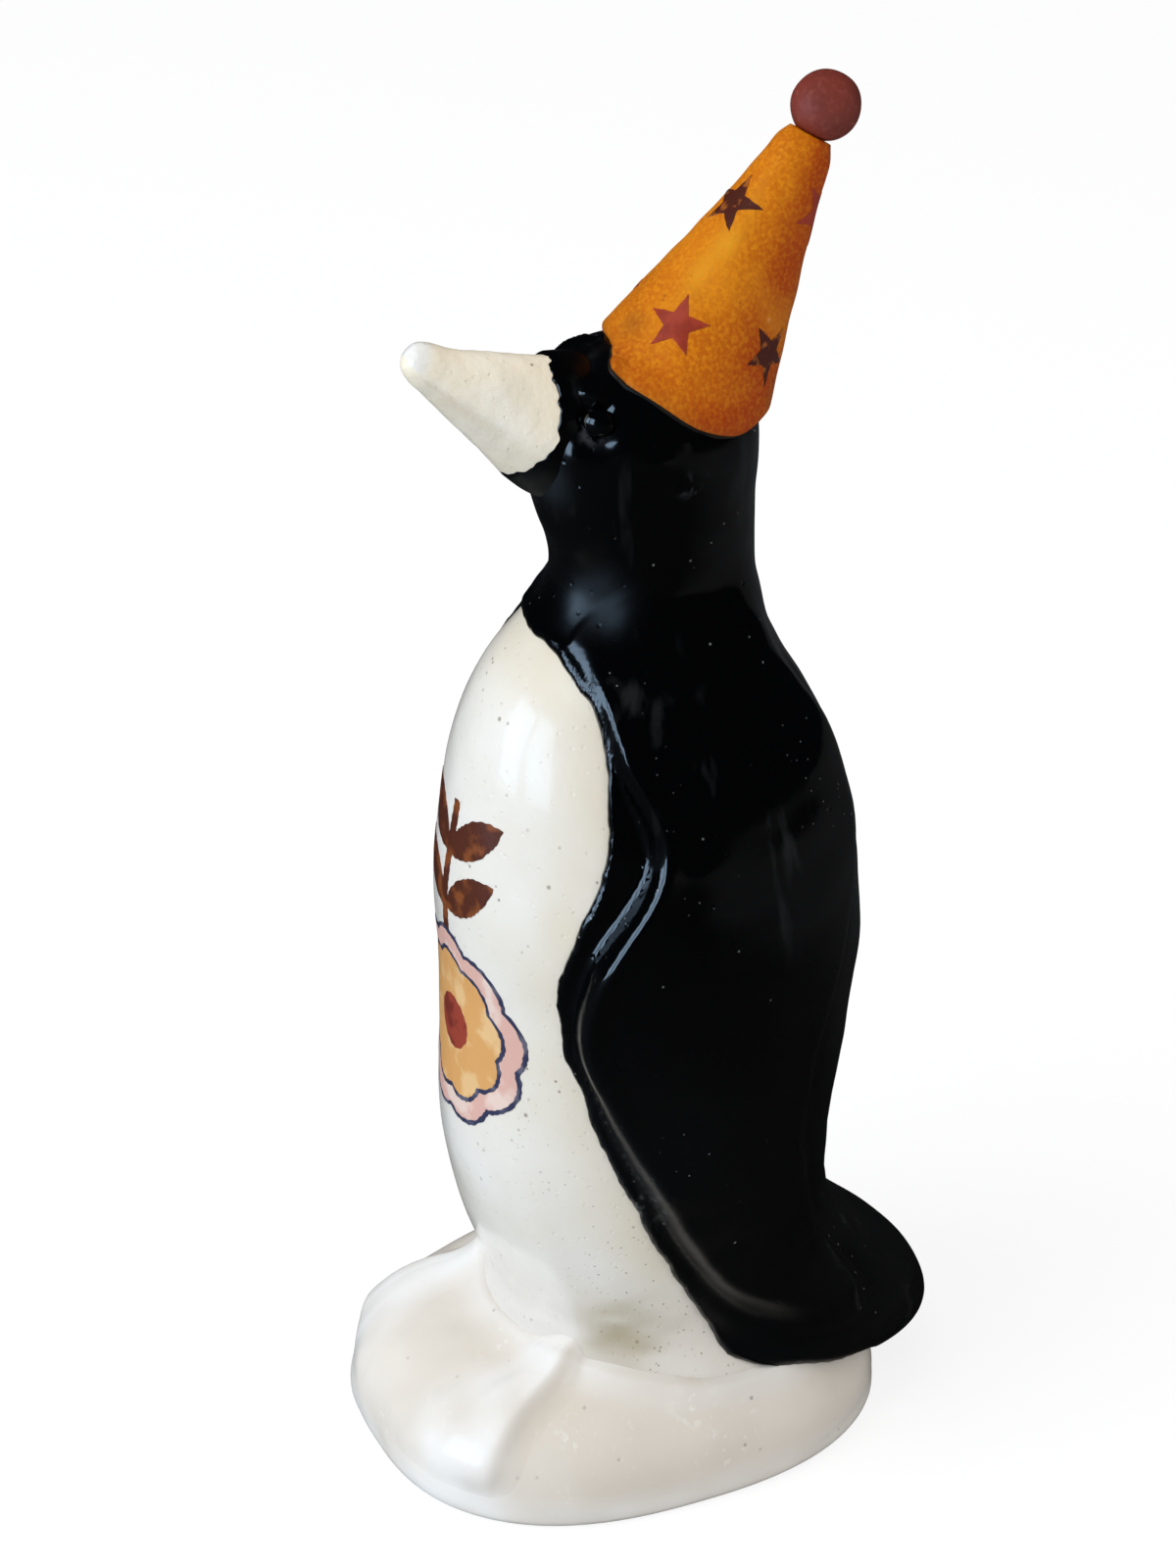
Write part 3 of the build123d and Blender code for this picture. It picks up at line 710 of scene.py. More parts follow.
from_ridge = beside_ray(FOOT_RIDGE)
ridge = 2.1 * bell(from_ridge / np.where(from_ridge > 0, 3.3, 7.0))
web = 0.9 * ease(beside_ray(FOOT_INNER) / 11) * ease(-from_ridge / 3 + 1)
toes = 0.18 * bell(beside_ray(-7) / 2.4) + 0.30 * bell(beside_ray(9) / 2.0)
creases = -0.14 * bell(beside_ray(17) / 0.5) * ease((foot_along - 10) / 6)
foot_fade = ease((mound[..., 2] - FOOT_END) / 8.0) * ease((52 - np.abs(foot_angle - 5)) / 14)
foot_rise = foot_fade * (ridge + web + toes + creases) + 1.6 * bell(foot_along / 8)
# the right foot is pressed flatter, and both end where they would sink into the mound
foot_rise = foot_rise * np.where(mound[..., 0] > 0, 1.0, 0.5)
FOOT_SINK = 0.10
foot_surface = mound + mound_normals * (foot_rise - FOOT_SINK)[..., None]

base_glaze = Finish("base_glaze", (0.80, 0.74, 0.665), 0.27, 0.2)
base_glaze.paint((0.72, 0.655, 0.57), base_glaze.clouds(30, 4, 0.38, 0.68))
# white where the glaze pooled, and a painted highlight along the corner by the body
base_glaze.paint((0.90, 0.89, 0.87), base_glaze.given("pooled_and_highlight"))
# painted shade in the corner beside the ankle, where the mound meets the body
base_glaze.paint((0.50, 0.40, 0.27), base_glaze.given("shade_and_stain"))
thinned = base_glaze.clouds(46, 2, 0.56, 0.66, 0.55)
scattered = base_glaze.multiply(base_glaze.clouds(640, 4, 0.60, 0.66), thinned)
base_glaze.paint((0.86, 0.84, 0.78), scattered)
crowded = base_glaze.multiply(base_glaze.clouds(560, 4, 0.54, 0.60, 0.8), base_glaze.given("fleck"))
base_glaze.paint((0.88, 0.85, 0.78), crowded)
base_glaze.paint((0.14, 0.11, 0.09), base_glaze.specks(170, 0.09, base_glaze.clouds(50, 3, 0.5, 0.6, 0.7)))
base_glaze.bump((base_glaze.noise(90, 3), 0.0006, 0.12), (base_glaze.noise(520, 2), 0.0002, 0.12))

FLECKS = [((37.3, -0.3, 19.3), 4.0), ((34.9, -23.8, 18.5), 3.0)]


def mound_shades(points):
    """White pools and a painted highlight by the body, painted shade by the ankle, and crowds of white
    flecks.
    """
    along, angle = from_ankle(points)
    fan = ease((angle - FOOT_INNER + 4) / 26) * ease((FOOT_RIDGE + 12 - angle) / 14)
    fan = fan * ease((46 - along) / 14)
    rim = ease((9 - points[:, 2]) / 6) * 0.5
    # painted highlight: a white line along the corner where the mound meets the body
    corner_highlight = 0.7 * bell(gap_to_body(points) / 3.0)
    pooled_and_highlight = np.clip((0.85 * fan + rim + corner_highlight) * (0.75 + 0.35 * wobble(points, 16, 13)), 0, 1)
    beside, ahead = np.abs(points[:, 0]) - ANKLE[0], ANKLE[1] - points[:, 1]
    # painted shade: darker in the corner beside the ankle, where the mound meets the body
    ankle_shade = 0.5 * bell((beside - 13) / 6, (ahead + 14) / 9) * (0.8 + 0.4 * wobble(points, 9, 14))
    return {"pooled_and_highlight": pooled_and_highlight, "shade_and_stain": np.clip(ankle_shade, 0, 1), "fleck": spots(points, FLECKS)}


rings = len(heights)
points, faces = cap(mound.reshape(-1, 3), grid_triangles(rings, MOUND_ROUND),
                    ring_of(rings - 1, MOUND_ROUND), (0, 0, BASE_HEIGHT), False)
inner_ring = mound[0] * [(1 - 2 * BASE_WALL / BASE_WIDTH), (1 - 2 * BASE_WALL / BASE_LENGTH), 0]
inner_top = inner_ring + [0, 0, HOLLOW_TOP]
start = len(points)
points = np.concatenate([points, inner_ring, inner_top])
ring = np.arange(MOUND_ROUND)
following = np.roll(ring, -1)
for lower, upper in ((ring, start + ring), (start + ring, start + MOUND_ROUND + ring)):
    lower_next, upper_next = lower[following], upper[following]
    faces = np.concatenate([faces, np.stack([lower, upper_next, lower_next], 1),
                            np.stack([lower, upper, upper_next], 1)])
points, faces = cap(points, faces, start + MOUND_ROUND + ring[::-1], (0, 0, HOLLOW_TOP), True)
make_piece("mound", points, faces, base_glaze, "base_glaze", "base_mound", mound_shades(points))

foot_points, foot_below = foot_surface.reshape(-1, 3), (mound - mound_normals * 1.0).reshape(-1, 3)
foot_normals = grid_normals(foot_surface).reshape(-1, 3)
foot_keep = foot_rise.ravel() - FOOT_SINK - 0.01
for name, sign, node in (("foot_left", 1, "left_foot"), ("foot_right", -1, "right_foot")):
    keep = np.minimum(foot_keep, sign * foot_points[:, 0])
    keep = np.minimum(keep, foot_points[:, 2] - 2.0)
    points, faces, (lower, normals) = cut(foot_points, grid_triangles(rings, MOUND_ROUND), keep,
                                          [foot_below, foot_normals])
    points, faces = shell(points, lower, faces)
    make_piece(name, points, faces, base_glaze, "base_glaze", node, mound_shades(points),
               np.concatenate([normals, -normals]))

# Beak: a solid sprig of clay, luted to the face by its root, in semi-gloss ivory glaze, with
# painted shade along the lower side, and worn bright at the tip.
BEAK_ROOT = (0, BODY_SETBACK - 0.255 * BODY_DEPTH, SEAT_LEVEL + 0.9434 * BODY_HEIGHT)
BEAK_LENGTH, BEAK_DEPTH, BEAK_WIDTH, BEAK_ANGLE = 29.4, 25.0, 17.0, math.radians(32)
BEAK_ROWS = np.array([
    (-0.27, 1.00, 1.00), (0.00, 0.96, 1.00), (0.20, 0.80, 0.86), (0.42, 0.63, 0.73),
    (0.62, 0.48, 0.60), (0.80, 0.365, 0.48), (0.92, 0.295, 0.39), (0.985, 0.19, 0.26), (1.01, 0.03, 0.04),
])
BEAK_ROUND, BEAK_RINGS, BEAK_HUMP = 120, 110, 0.6
SIDEWAYS = np.array([1, 0, 0])
forward = np.array([0, -math.cos(BEAK_ANGLE), math.sin(BEAK_ANGLE)])
upward = np.array([0, math.sin(BEAK_ANGLE), math.cos(BEAK_ANGLE)])
# where the black glaze ends on the beak: angle up from its side, share of its length
COLLAR_EDGE = [
    (-90, 0.085), (-70, 0.075), (-51, 0.048), (-36, 0.033), (-24, 0.010), (-12, -0.004), (3, 0.021),
    (18, 0.069), (36, 0.117), (51, 0.153), (72, 0.177), (90, 0.160),
]


def collar_reach(around):
    """The ragged end of the black glaze, as a share of the beak's length."""
    from_side = np.degrees(np.arcsin(np.sin(around)))
    reach = spline([mark[0] for mark in COLLAR_EDGE], [mark[1] for mark in COLLAR_EDGE], from_side)
    ragged = 0.006 * np.sin(7 * around + 1) + 0.006 * np.sin(17 * around) + 0.004 * np.sin(31 * around)
    return reach + ragged


beak_marks = chord_marks(BEAK_ROWS[:, 0] * BEAK_LENGTH, BEAK_ROWS[:, 1] * BEAK_DEPTH / 2)
marks = np.linspace(0, beak_marks[-1], BEAK_RINGS)
along, depth, width = (spline(beak_marks, BEAK_ROWS[:, k], marks)[:, None] for k in range(3))
around = np.linspace(0, 2 * math.pi, BEAK_ROUND, endpoint=False)[None, :]


def beak_place(along, around, depth, width):
    """A point in the beak's ring at a share of its length, which has this half depth and width."""
    up = depth * np.sin(around) - BEAK_HUMP * np.sin(np.clip(along, 0, 1) * math.pi)
    out = along * BEAK_LENGTH + 0 * around
    return (np.array(BEAK_ROOT) + (width * np.cos(around))[..., None] * SIDEWAYS
            + up[..., None] * upward + out[..., None] * forward)


beak = beak_place(along, around, depth * BEAK_DEPTH / 2, width * BEAK_WIDTH / 2)
beak_normals = grid_normals(beak)
mouth = -0.35 * bell((np.sin(around) + 0.45) / 0.10) * ease((0.93 - along) / 0.15)
mouth = mouth * ease((along + 0.1) / 0.2)
hidden = 0.8 * ease((collar_reach(around) - 0.02 - along) / 0.05) + 3.5 * ease((-0.03 - along) / 0.13)
uneven = 0.22 * wobble(beak, 12, 21) + 0.05 * wobble(beak, 4, 22) + mouth
beak = beak + beak_normals * (uneven * (1 - ease(hidden * 2)) - hidden)[..., None]

ivory = Finish("beak_glaze", (0.95, 0.895, 0.765), 0.30, 0.15)
ivory.paint((0.87, 0.77, 0.585), ivory.clouds(70, 4, 0.35, 0.7))
# painted shade along the beak's lower side
ivory.paint((0.60, 0.55, 0.46), ivory.given("underside_shade"))
ivory.paint((0.84, 0.83, 0.80), ivory.given("tip"))
ivory.paint((0.55, 0.47, 0.33), ivory.clouds(160, 5, 0.60, 0.75, 0.28))
ivory.paint(SPECK, ivory.specks(300, 0.14, ivory.clouds(80, 3, 0.5, 0.58, 0.75)))
ivory.link(ivory.remap(ivory.given("tip"), 0, 1, 0.36, 0.10), "Roughness")
ivory.bump((ivory.noise(170, 4), 0.0007, 0.55), (ivory.noise(900, 2), 0.0003, 0.45),
           (ivory.pits(420, 0.16, 0.2), 0.0004, 0.4))

points, faces = beak.reshape(-1, 3), grid_triangles(BEAK_RINGS, BEAK_ROUND)
last = ring_of(BEAK_RINGS - 1, BEAK_ROUND)
points, faces = cap(points, faces, last, points[last].mean(0), False)
points, faces = cap(points, faces, np.arange(BEAK_ROUND), points[:BEAK_ROUND].mean(0), True)
# painted shade: darker along the lower side, short of the tip
underside_shade = 0.5 * (ease((-0.15 - np.sin(around)) / 0.5) * ease((1.0 - along) / 0.2))
tip = ease((along - 0.86) / 0.1) * ease((np.sin(around) + 0.6) / 0.5)
make_piece("beak_piece", points, faces, ivory, "beak_glaze", "beak",
           {"underside_shade": np.append(underside_shade.ravel(), [0, 0]), "tip": np.append(tip.ravel(), [0, 0])})

# Mantle: the rest of the black glaze, on head, neck and back. It was brushed on last, so it
# climbs over the beak's root in a ragged collar with a spur on top.
COLLAR_ROUND, COLLAR_RINGS, COLLAR_START = 168, 32, -0.22
around = full_turn(COLLAR_ROUND)
collar_end = collar_reach(around)
run = (1 - (1 - np.linspace(0, 1, COLLAR_RINGS)) ** 1.6)[:, None]
along = COLLAR_START + (collar_end - COLLAR_START) * run


def beak_point(along, around, outwards):
    """A point on the beak, or above it, from the share of its length and the angle round it."""
    depth = spline(BEAK_ROWS[:, 0], BEAK_ROWS[:, 1], along) * BEAK_DEPTH / 2
    width = spline(BEAK_ROWS[:, 0], BEAK_ROWS[:, 2], along) * BEAK_WIDTH / 2
    return beak_place(along, around, depth + outwards, width + outwards)


to_edge = (collar_end - along) * BEAK_LENGTH
thickness = 0.8 * np.sqrt(1 - (1 - np.clip(to_edge / 1.2, 0, 1)) ** 2) + 0.25 * ease(to_edge / 4)
thickness = thickness * (0.65 + 0.35 * np.sin(around))
collar = beak_point(along, around, thickness + 0.10 * wobble(beak_point(along, around, 0), 6, 61))
collar_below = beak_point(along, around, -0.6 + 0 * thickness)
collar_points, collar_faces = shell(collar.reshape(-1, 3), collar_below.reshape(-1, 3),
                                    grid_triangles(COLLAR_RINGS, COLLAR_ROUND))
collar_normals = vertex_normals(collar_points, collar_faces)
points, faces = shell(coat_points, below, coat_faces[~in_wing & ~in_tail])
normals = np.concatenate([coat_normals, -coat_normals, collar_normals])
faces = np.concatenate([faces, collar_faces + len(points)])
points = np.concatenate([points, collar_points])
make_piece("mantle", points, faces, black, "black_glaze", "mantle_glaze", black_shades(points), normals)

# Hat: a hollow cone of clay, pressed a little out of true, in mottled orange ochre glaze. It sits
# tilted back on the crown and is bedded on with slip.
HAT_TILT, HAT_LENGTH, HAT_RADIUS, HAT_WALL = math.radians(30.8), 47.8, 33.7 / 2, 3.2
HAT_ORIGIN = np.array([0, BODY_SETBACK + 0.082 * BODY_DEPTH, SEAT_LEVEL + 0.96 * BODY_HEIGHT])
hat_axis = np.array([0, math.sin(HAT_TILT), math.cos(HAT_TILT)])
hat_back = np.array([0, math.cos(HAT_TILT), -math.sin(HAT_TILT)])
HAT_PROFILE = [(-0.0732, 1.05), (0.00, 1.00), (0.16, 0.88), (0.36, 0.725), (0.66, 0.495), (1.00, 0.29)]
# the rim droops over the sides of the head: angle from the front, share of the hat's length
HAT_RIM = [
    (-180, 0.038), (-155, 0.030), (-135, 0.000), (-119, -0.040), (-94, -0.060), (-78, -0.045),
    (-60, 0.000), (-40, 0.022), (-20, 0.018), (0, 0.008), (8, -0.018), (14, -0.040), (21, -0.062),
    (34, -0.092), (45, -0.090), (64, -0.100), (80, -0.110), (94, -0.106), (105, -0.085),
    (119, -0.055), (135, 0.005), (155, 0.032), (180, 0.038),
]
HAT_ROUND, HAT_RINGS = 240, 150


def hat_point(angle, share, outwards=0.0):
    """A point on the hat from the angle round it from its front and a share of its length."""
    radius = spline(*zip(*HAT_PROFILE), share) * HAT_RADIUS
    top = ease((share - 0.90) / 0.12)
    radius = radius + outwards - 1.1 * top ** 2
    oval = 0.35 * np.cos(2 * angle + 0.6) * ease((0.9 - share) / 0.9)
    radius = radius + oval + 0.16 * np.cos(3 * angle + 2 + 4 * share)
    return (HAT_ORIGIN + (radius * np.sin(angle))[..., None] * SIDEWAYS
            + (-radius * np.cos(angle))[..., None] * hat_back + (share * HAT_LENGTH)[..., None] * hat_axis)


def hat_rim(angle):
    """The share of the hat's length where its rim lies."""
    from_front = np.degrees((angle + math.pi) % (2 * math.pi) - math.pi)
    droop = np.interp(from_front, *zip(*HAT_RIM))
    return droop + 0.004 * np.sin(3 * angle + 1) + 0.002 * np.sin(9 * angle)


head = BVHTree.FromPolygons(coat_points.tolist(), coat_faces.tolist())
RAY_START = 30.0


def over_head(points, clearance):
    """Pushes points away from the hat's axis, out to a clearance over the head."""
    moved = points.reshape(-1, 3).copy()
    along = (moved - HAT_ORIGIN) @ hat_axis
    middle = HAT_ORIGIN + along[:, None] * hat_axis
    arm = moved - middle
    own = np.linalg.norm(arm, axis=1)
    arm = arm / own[:, None]
    for k in np.flatnonzero(along < 0.3 * HAT_LENGTH):
        gap = head.ray_cast(middle[k] + arm[k] * RAY_START, -arm[k], RAY_START)[3]
        if gap is not None:
            short = RAY_START - gap + clearance - own[k]
            moved[k] += arm[k] * (short + math.sqrt(short ** 2 + 0.1)) / 2
    return moved.reshape(points.shape)


HAT_CLEARANCE, RIM_ROUND, RIM_REACH, RIM_SMOOTHING = 0.7, 1.3, 1.8, 6
around = full_turn(HAT_ROUND)
rim = hat_rim(around)
rim = sum(np.roll(rim, k, 1) for k in range(-RIM_SMOOTHING, RIM_SMOOTHING + 1)) / (2 * RIM_SMOOTHING + 1)
run = np.linspace(0, 1, HAT_RINGS)[:, None]
share = rim + (1.0 - rim) * run
from_rim = np.clip(run * HAT_LENGTH / RIM_REACH, 0, 1)
rounding = RIM_ROUND * (1 - np.sqrt(1 - (1 - from_rim) ** 2))
hat_outside = hat_point(around + 0 * run, share)
lifted = over_head(hat_outside, HAT_CLEARANCE) - hat_outside
lifted = lifted * ease((0.30 - share) / 0.12)[..., None]
hat_outside = hat_point(around + 0 * run, share, -rounding) + lifted
hat_outside = hat_outside + (0.14 * wobble(hat_outside, 9, 31))[..., None] * grid_normals(hat_outside)
hat_inside = hat_point(around + 0 * run, np.minimum(share + 0.01, 0.80), -HAT_WALL)
closing = ease((share - 0.72) / 0.08)[..., None]
hat_inside = hat_inside * (1 - 0.7 * closing) + hat_inside.mean(1, keepdims=True) * 0.7 * closing

ochre = Finish("hat_glaze", (0.59, 0.170, 0.003), 0.40)
ochre.set("IOR", 1.25)
ochre.paint((0.47, 0.110, 0.001), ochre.clouds(55, 4, 0.35, 0.68))
# deeper glaze, and painted shade on the back of the hat
ochre.paint((0.385, 0.046, 0.000), ochre.given("deep_and_shade"))
ochre.paint((0.68, 0.27, 0.010), ochre.clouds(34, 3, 0.54, 0.72, 0.75))
ochre.paint((0.74, 0.36, 0.015), ochre.given("streak"))
weaker = ochre.remap(ochre.given("deep_and_shade"), 0, 1, 1, 0.4)
ochre.paint((0.69, 0.24, 0.005), ochre.multiply(ochre.clouds(1250, 3, 0.42, 0.66, 0.7), weaker))
# stains, and painted shade just above the rim where the hat meets the head
ochre.paint((0.22, 0.07, 0.008), ochre.given("shade_and_stain"))
ochre.paint((0.20, 0.06, 0.008), ochre.specks(420, 0.14, ochre.clouds(120, 3, 0.5, 0.58, 0.7)))
blisters = ochre.specks(240, 0.16, ochre.clouds(70, 3, 0.56, 0.62, 0.45))
ochre.paint((0.80, 0.42, 0.16), blisters)
ochre.bump((ochre.noise(130, 3), 0.0007, 0.35), (ochre.noise(950, 2), 0.0003, 0.7), (blisters, 0.0003, 0.4))

outer, inner = hat_outside.reshape(-1, 3), hat_inside.reshape(-1, 3)
top_ring = ring_of(HAT_RINGS - 1, HAT_ROUND)
outer, faces = cap(outer, grid_triangles(HAT_RINGS, HAT_ROUND), top_ring, outer[top_ring].mean(0), False)
inner = np.concatenate([inner, [inner[top_ring].mean(0)]])
# angle, share of the length, radius, strength
HAT_STAINS = [(8, 0.11, 2.6, 0.45), (-120, 0.5, 4, 0.3), (150, 0.1, 5, 0.3)]
stains_and_rim_shade = np.zeros(len(outer))
for angle, mark_share, radius, strength in HAT_STAINS:
    middle = hat_point(np.array(math.radians(angle)), np.array(mark_share))
    stains_and_rim_shade += strength * bell(gaps_to(outer, middle) / radius)
# painted shade: darker just above the rim, where the hat meets the head
rim_shade = 0.35 * np.exp(-(run + 0 * around) * HAT_LENGTH / 1.5)
stains_and_rim_shade += np.append(rim_shade.ravel(), 0)
from_front = np.degrees(around)
streak = bell((from_front - 34) / 15, (share - 0.48) / 0.24)
streak = 0.7 * streak * (0.7 + 0.3 * wobble(hat_outside, 5, 33))
# darker towards the back, in painted shade as well as deeper glaze, and deeper glaze along the rim
behind = np.maximum(ease((from_front - 54) / 42), ease((-125 - from_front) / 50))
deep_and_shade = 0.95 * behind + 0.5 * ease((0.12 - share) / 0.16)
deep_and_shade = np.clip(deep_and_shade * (0.85 + 0.25 * wobble(hat_outside, 10, 34)), 0, 1)
points, faces = shell(outer, inner, faces)
shades = {"shade_and_stain": stains_and_rim_shade, "streak": np.append(streak.ravel(), 0), "deep_and_shade": np.append(deep_and_shade.ravel(), 0)}
make_piece("party_hat", points, faces, ochre, "hat_glaze", "hat_cone",
           {name: np.tile(shade, 2) for name, shade in shades.items()})

# Stars: five-pointed prints, red or a mottled dark brown, laid on the hat as transfers and fired
# on. They have a ragged edge and hardly any thickness.
STAR_RADIUS, STAR_WAIST, STAR_FILM, STAR_RAGGED = 5.75, 0.42, 0.09, 0.5
# share of the hat's length, angle from its front, turn in its own plane, colour
STARS = [
    (0.19, 38, 31, "red"), (0.24, 117, -6, "dark"), (0.21, 176, 14, "red"), (0.22, 250, -10, "dark"),
    (0.22, 312, 4, "red"), (0.66, 8, 20, "dark"), (0.76, 141, -12, "red"), (0.69, 256, 10, "dark"),
]


def print_finish(name, colour, second, scale, share=0.5):
    """A fired print, in a colour with spots of a second one."""
    ink = Finish(name, colour, 0.32, 0.1)
    ink.paint(second, ink.clouds(scale, 3, share, share + 0.12))
    ink.bump((ink.noise(800, 2), 0.0002, 0.3))
    return ink


star_finishes = {
    "red": print_finish("star_red", (0.34, 0.038, 0.016), (0.27, 0.028, 0.012), 300),
    "dark": print_finish("star_dark", (0.075, 0.016, 0.009), (0.36, 0.10, 0.012), 420, 0.56),
}
star_slots = {"red": "star_transfer", "dark": "star_transfer_dark"}


def geometry_tree(name, output, given, nodes, links):
    """A tree of geometry nodes with one output. Its inputs are names and kinds. Its nodes are
    labels, kinds and settings. Its links are written "label.output > label.input"."""
    tree = bpy.data.node_groups.new(name, "GeometryNodeTree")
    tree.interface.new_socket(output, in_out="OUTPUT", socket_type="NodeSocketGeometry")
    for title, kind in given:
        tree.interface.new_socket(title, in_out="INPUT", socket_type="NodeSocket" + kind)
    made = {"given": tree.nodes.new("NodeGroupInput"), "result": tree.nodes.new("NodeGroupOutput")}
    for label, kind, settings in nodes:
        made[label] = tree.nodes.new(kind)
        for key, value in settings.items():
            if isinstance(key, int) or key in made[label].inputs:
                made[label].inputs[key].default_value = value
            else:
                setattr(made[label], key, value)
    for link in links:
        (source, output), (target, socket) = (end.split(".") for end in link.split(" > "))
        socket = int(socket) if socket.isdigit() else socket
        tree.links.new(made[source].outputs[output], made[target].inputs[socket])
    return tree


# how each tree ends: a smooth mesh of its own, with its material
ENDING = [("smooth", "GeometryNodeSetShadeSmooth", {}), ("real", "GeometryNodeRealizeInstances", {}),
          ("finish", "GeometryNodeSetMaterial", {})]
ENDING_LINKS = ["smooth.Geometry > real.Geometry", "real.Geometry > finish.Geometry",
                "given.Finish > finish.Material", "finish.Geometry > result.0"]
# a star is drawn, its edge made ragged, and it is laid on the hat along a ray, sunk in and raised
SINK, WELD, RAY_LENGTH = 0.0003, 0.000002, 0.03
star_tree = geometry_tree("fired_star", "Star", [
    ("Hat", "Object"), ("Radius", "Float"), ("Waist", "Float"), ("Film", "Float"), ("Ragged", "Float"),
    ("Seed", "Float"), ("Place", "Vector"), ("Turn", "Vector"), ("Inward", "Vector"), ("Finish", "Material"),
], [
    ("star", "GeometryNodeCurveStar", {"Points": 5}),
    ("filled", "GeometryNodeFillCurve", {}),
    ("fine", "GeometryNodeSubdivideMesh", {"Level": 5}),
    ("uneven", "ShaderNodeTexNoise", {"noise_dimensions": "4D", "Scale": 700}),
    ("centred", "ShaderNodeVectorMath", {"operation": "SUBTRACT", 1: (0.5, 0.5, 0.5)}),
    ("shift", "ShaderNodeVectorMath", {"operation": "SCALE"}),
    ("ragged", "GeometryNodeSetPosition", {}),
    ("placed", "GeometryNodeTransform", {}),
    ("carrier", "GeometryNodeObjectInfo", {}),
    ("ray", "GeometryNodeRaycast", {"Ray Length": RAY_LENGTH}),
    ("depth", "ShaderNodeVectorMath", {"operation": "SCALE", "Scale": -SINK}),
    ("sunk", "ShaderNodeVectorMath", {"operation": "ADD"}),
    ("laid", "GeometryNodeSetPosition", {}),
    ("height", "ShaderNodeMath", {"operation": "ADD", 1: SINK}),
    ("raised", "GeometryNodeExtrudeMesh", {"Individual": False}),
    ("underside", "GeometryNodeFlipFaces", {}),
    ("joined", "GeometryNodeJoinGeometry", {}),
    ("welded", "GeometryNodeMergeByDistance", {"Distance": WELD}),
] + ENDING, [
    "given.Radius > star.Outer Radius", "given.Waist > star.Inner Radius", "star.Curve > filled.Curve",
    "filled.Mesh > fine.Mesh", "given.Seed > uneven.W", "uneven.Color > centred.0",
    "centred.Vector > shift.0", "given.Ragged > shift.Scale", "fine.Mesh > ragged.Geometry",
    "shift.Vector > ragged.Offset", "ragged.Geometry > placed.Geometry",
    "given.Place > placed.Translation", "given.Turn > placed.Rotation", "given.Hat > carrier.Object",
    "carrier.Geometry > ray.Target Geometry", "given.Inward > ray.Ray Direction",
    "ray.Hit Normal > depth.0", "ray.Hit Position > sunk.0", "depth.Vector > sunk.1",
    "placed.Geometry > laid.Geometry", "sunk.Vector > laid.Position", "given.Film > height.0",
    "laid.Geometry > raised.Mesh", "height.Value > raised.Offset Scale", "laid.Geometry > underside.Mesh",
    "raised.Mesh > joined.Geometry", "underside.Mesh > joined.Geometry",
    "joined.Geometry > welded.Geometry", "welded.Geometry > smooth.Geometry",
] + ENDING_LINKS)


def run_tree(carrier, tree, values):
    """Runs a tree on an object and returns the plain mesh that comes out."""
    modifier = carrier.modifiers.new(tree.name, "NODES")
    modifier.node_group = tree
    for item in tree.interface.items_tree:
        if item.name in values and item.in_out == "INPUT":
            modifier[item.identifier] = values[item.name]
    evaluated = carrier.evaluated_get(bpy.context.evaluated_depsgraph_get())
    mesh = bpy.data.meshes.new_from_object(evaluated)
    carrier.modifiers.remove(modifier)
    return mesh


hat = bpy.data.objects["party_hat"]
STEP, STANDOFF = 0.01, 8
for number, (share_up, angle, turn, tone) in enumerate(STARS, start=1):
    name = "star_" + str(number)
    star = bpy.data.objects.new(name, bpy.data.meshes.new(name + "_blank"))
    bpy.context.scene.collection.objects.link(star)
    angle = math.radians(angle)
    middle = hat_point(np.array(angle), np.array(share_up))
    up = hat_point(np.array(angle), np.array(share_up + STEP)) - middle
    across = hat_point(np.array(angle + STEP), np.array(share_up)) - middle
    out = np.cross(across, up)
    axes = [vector / np.linalg.norm(vector) for vector in (np.cross(up, out), up, out)]
    facing = Matrix(np.array(axes).T.tolist()) @ Matrix.Rotation(math.radians(turn), 3, "Z")
    star.data = run_tree(star, star_tree, {
        "Hat": hat, "Radius": STAR_RADIUS * MM, "Waist": STAR_WAIST * STAR_RADIUS * MM,
        "Film": STAR_FILM * MM, "Ragged": STAR_RAGGED * MM, "Seed": float(number),
        "Place": ((middle + axes[2] * STANDOFF) * MM).tolist(), "Turn": tuple(facing.to_euler()),
        "Inward": (-axes[2]).tolist(), "Finish": star_finishes[tone].material,
    })
    dress(star, star_slots[tone], "hat_star_" + str(number))

# Ball: a small ball of clay, not quite round, in dull maroon glaze. A peg under it sits in the
# tip of the hat.
BALL_RADIUS, BALL_SINK, BALL_RINGS, POLE_GAP = 6.25, 0.6, 90, 0.02
ball_middle = HAT_ORIGIN + hat_axis * (HAT_LENGTH + BALL_RADIUS - BALL_SINK)
latitude = np.linspace(-math.pi / 2 + POLE_GAP, math.pi / 2 - POLE_GAP, BALL_RINGS)[:, None]
ball_direction = np.stack([np.cos(latitude) * np.sin(around), -np.cos(latitude) * np.cos(around),
                           np.sin(latitude) + 0 * around], -1)


def ball_mesh(points, middle, to_pole):
    """Points and triangles of a ball, closed at both poles."""
    points, faces = cap(points.reshape(-1, 3), grid_triangles(BALL_RINGS, HAT_ROUND),
                        ring_of(BALL_RINGS - 1, HAT_ROUND), middle + to_pole, False)
    return cap(points, faces, ring_of(0, HAT_ROUND)[::-1], middle - to_pole, False)


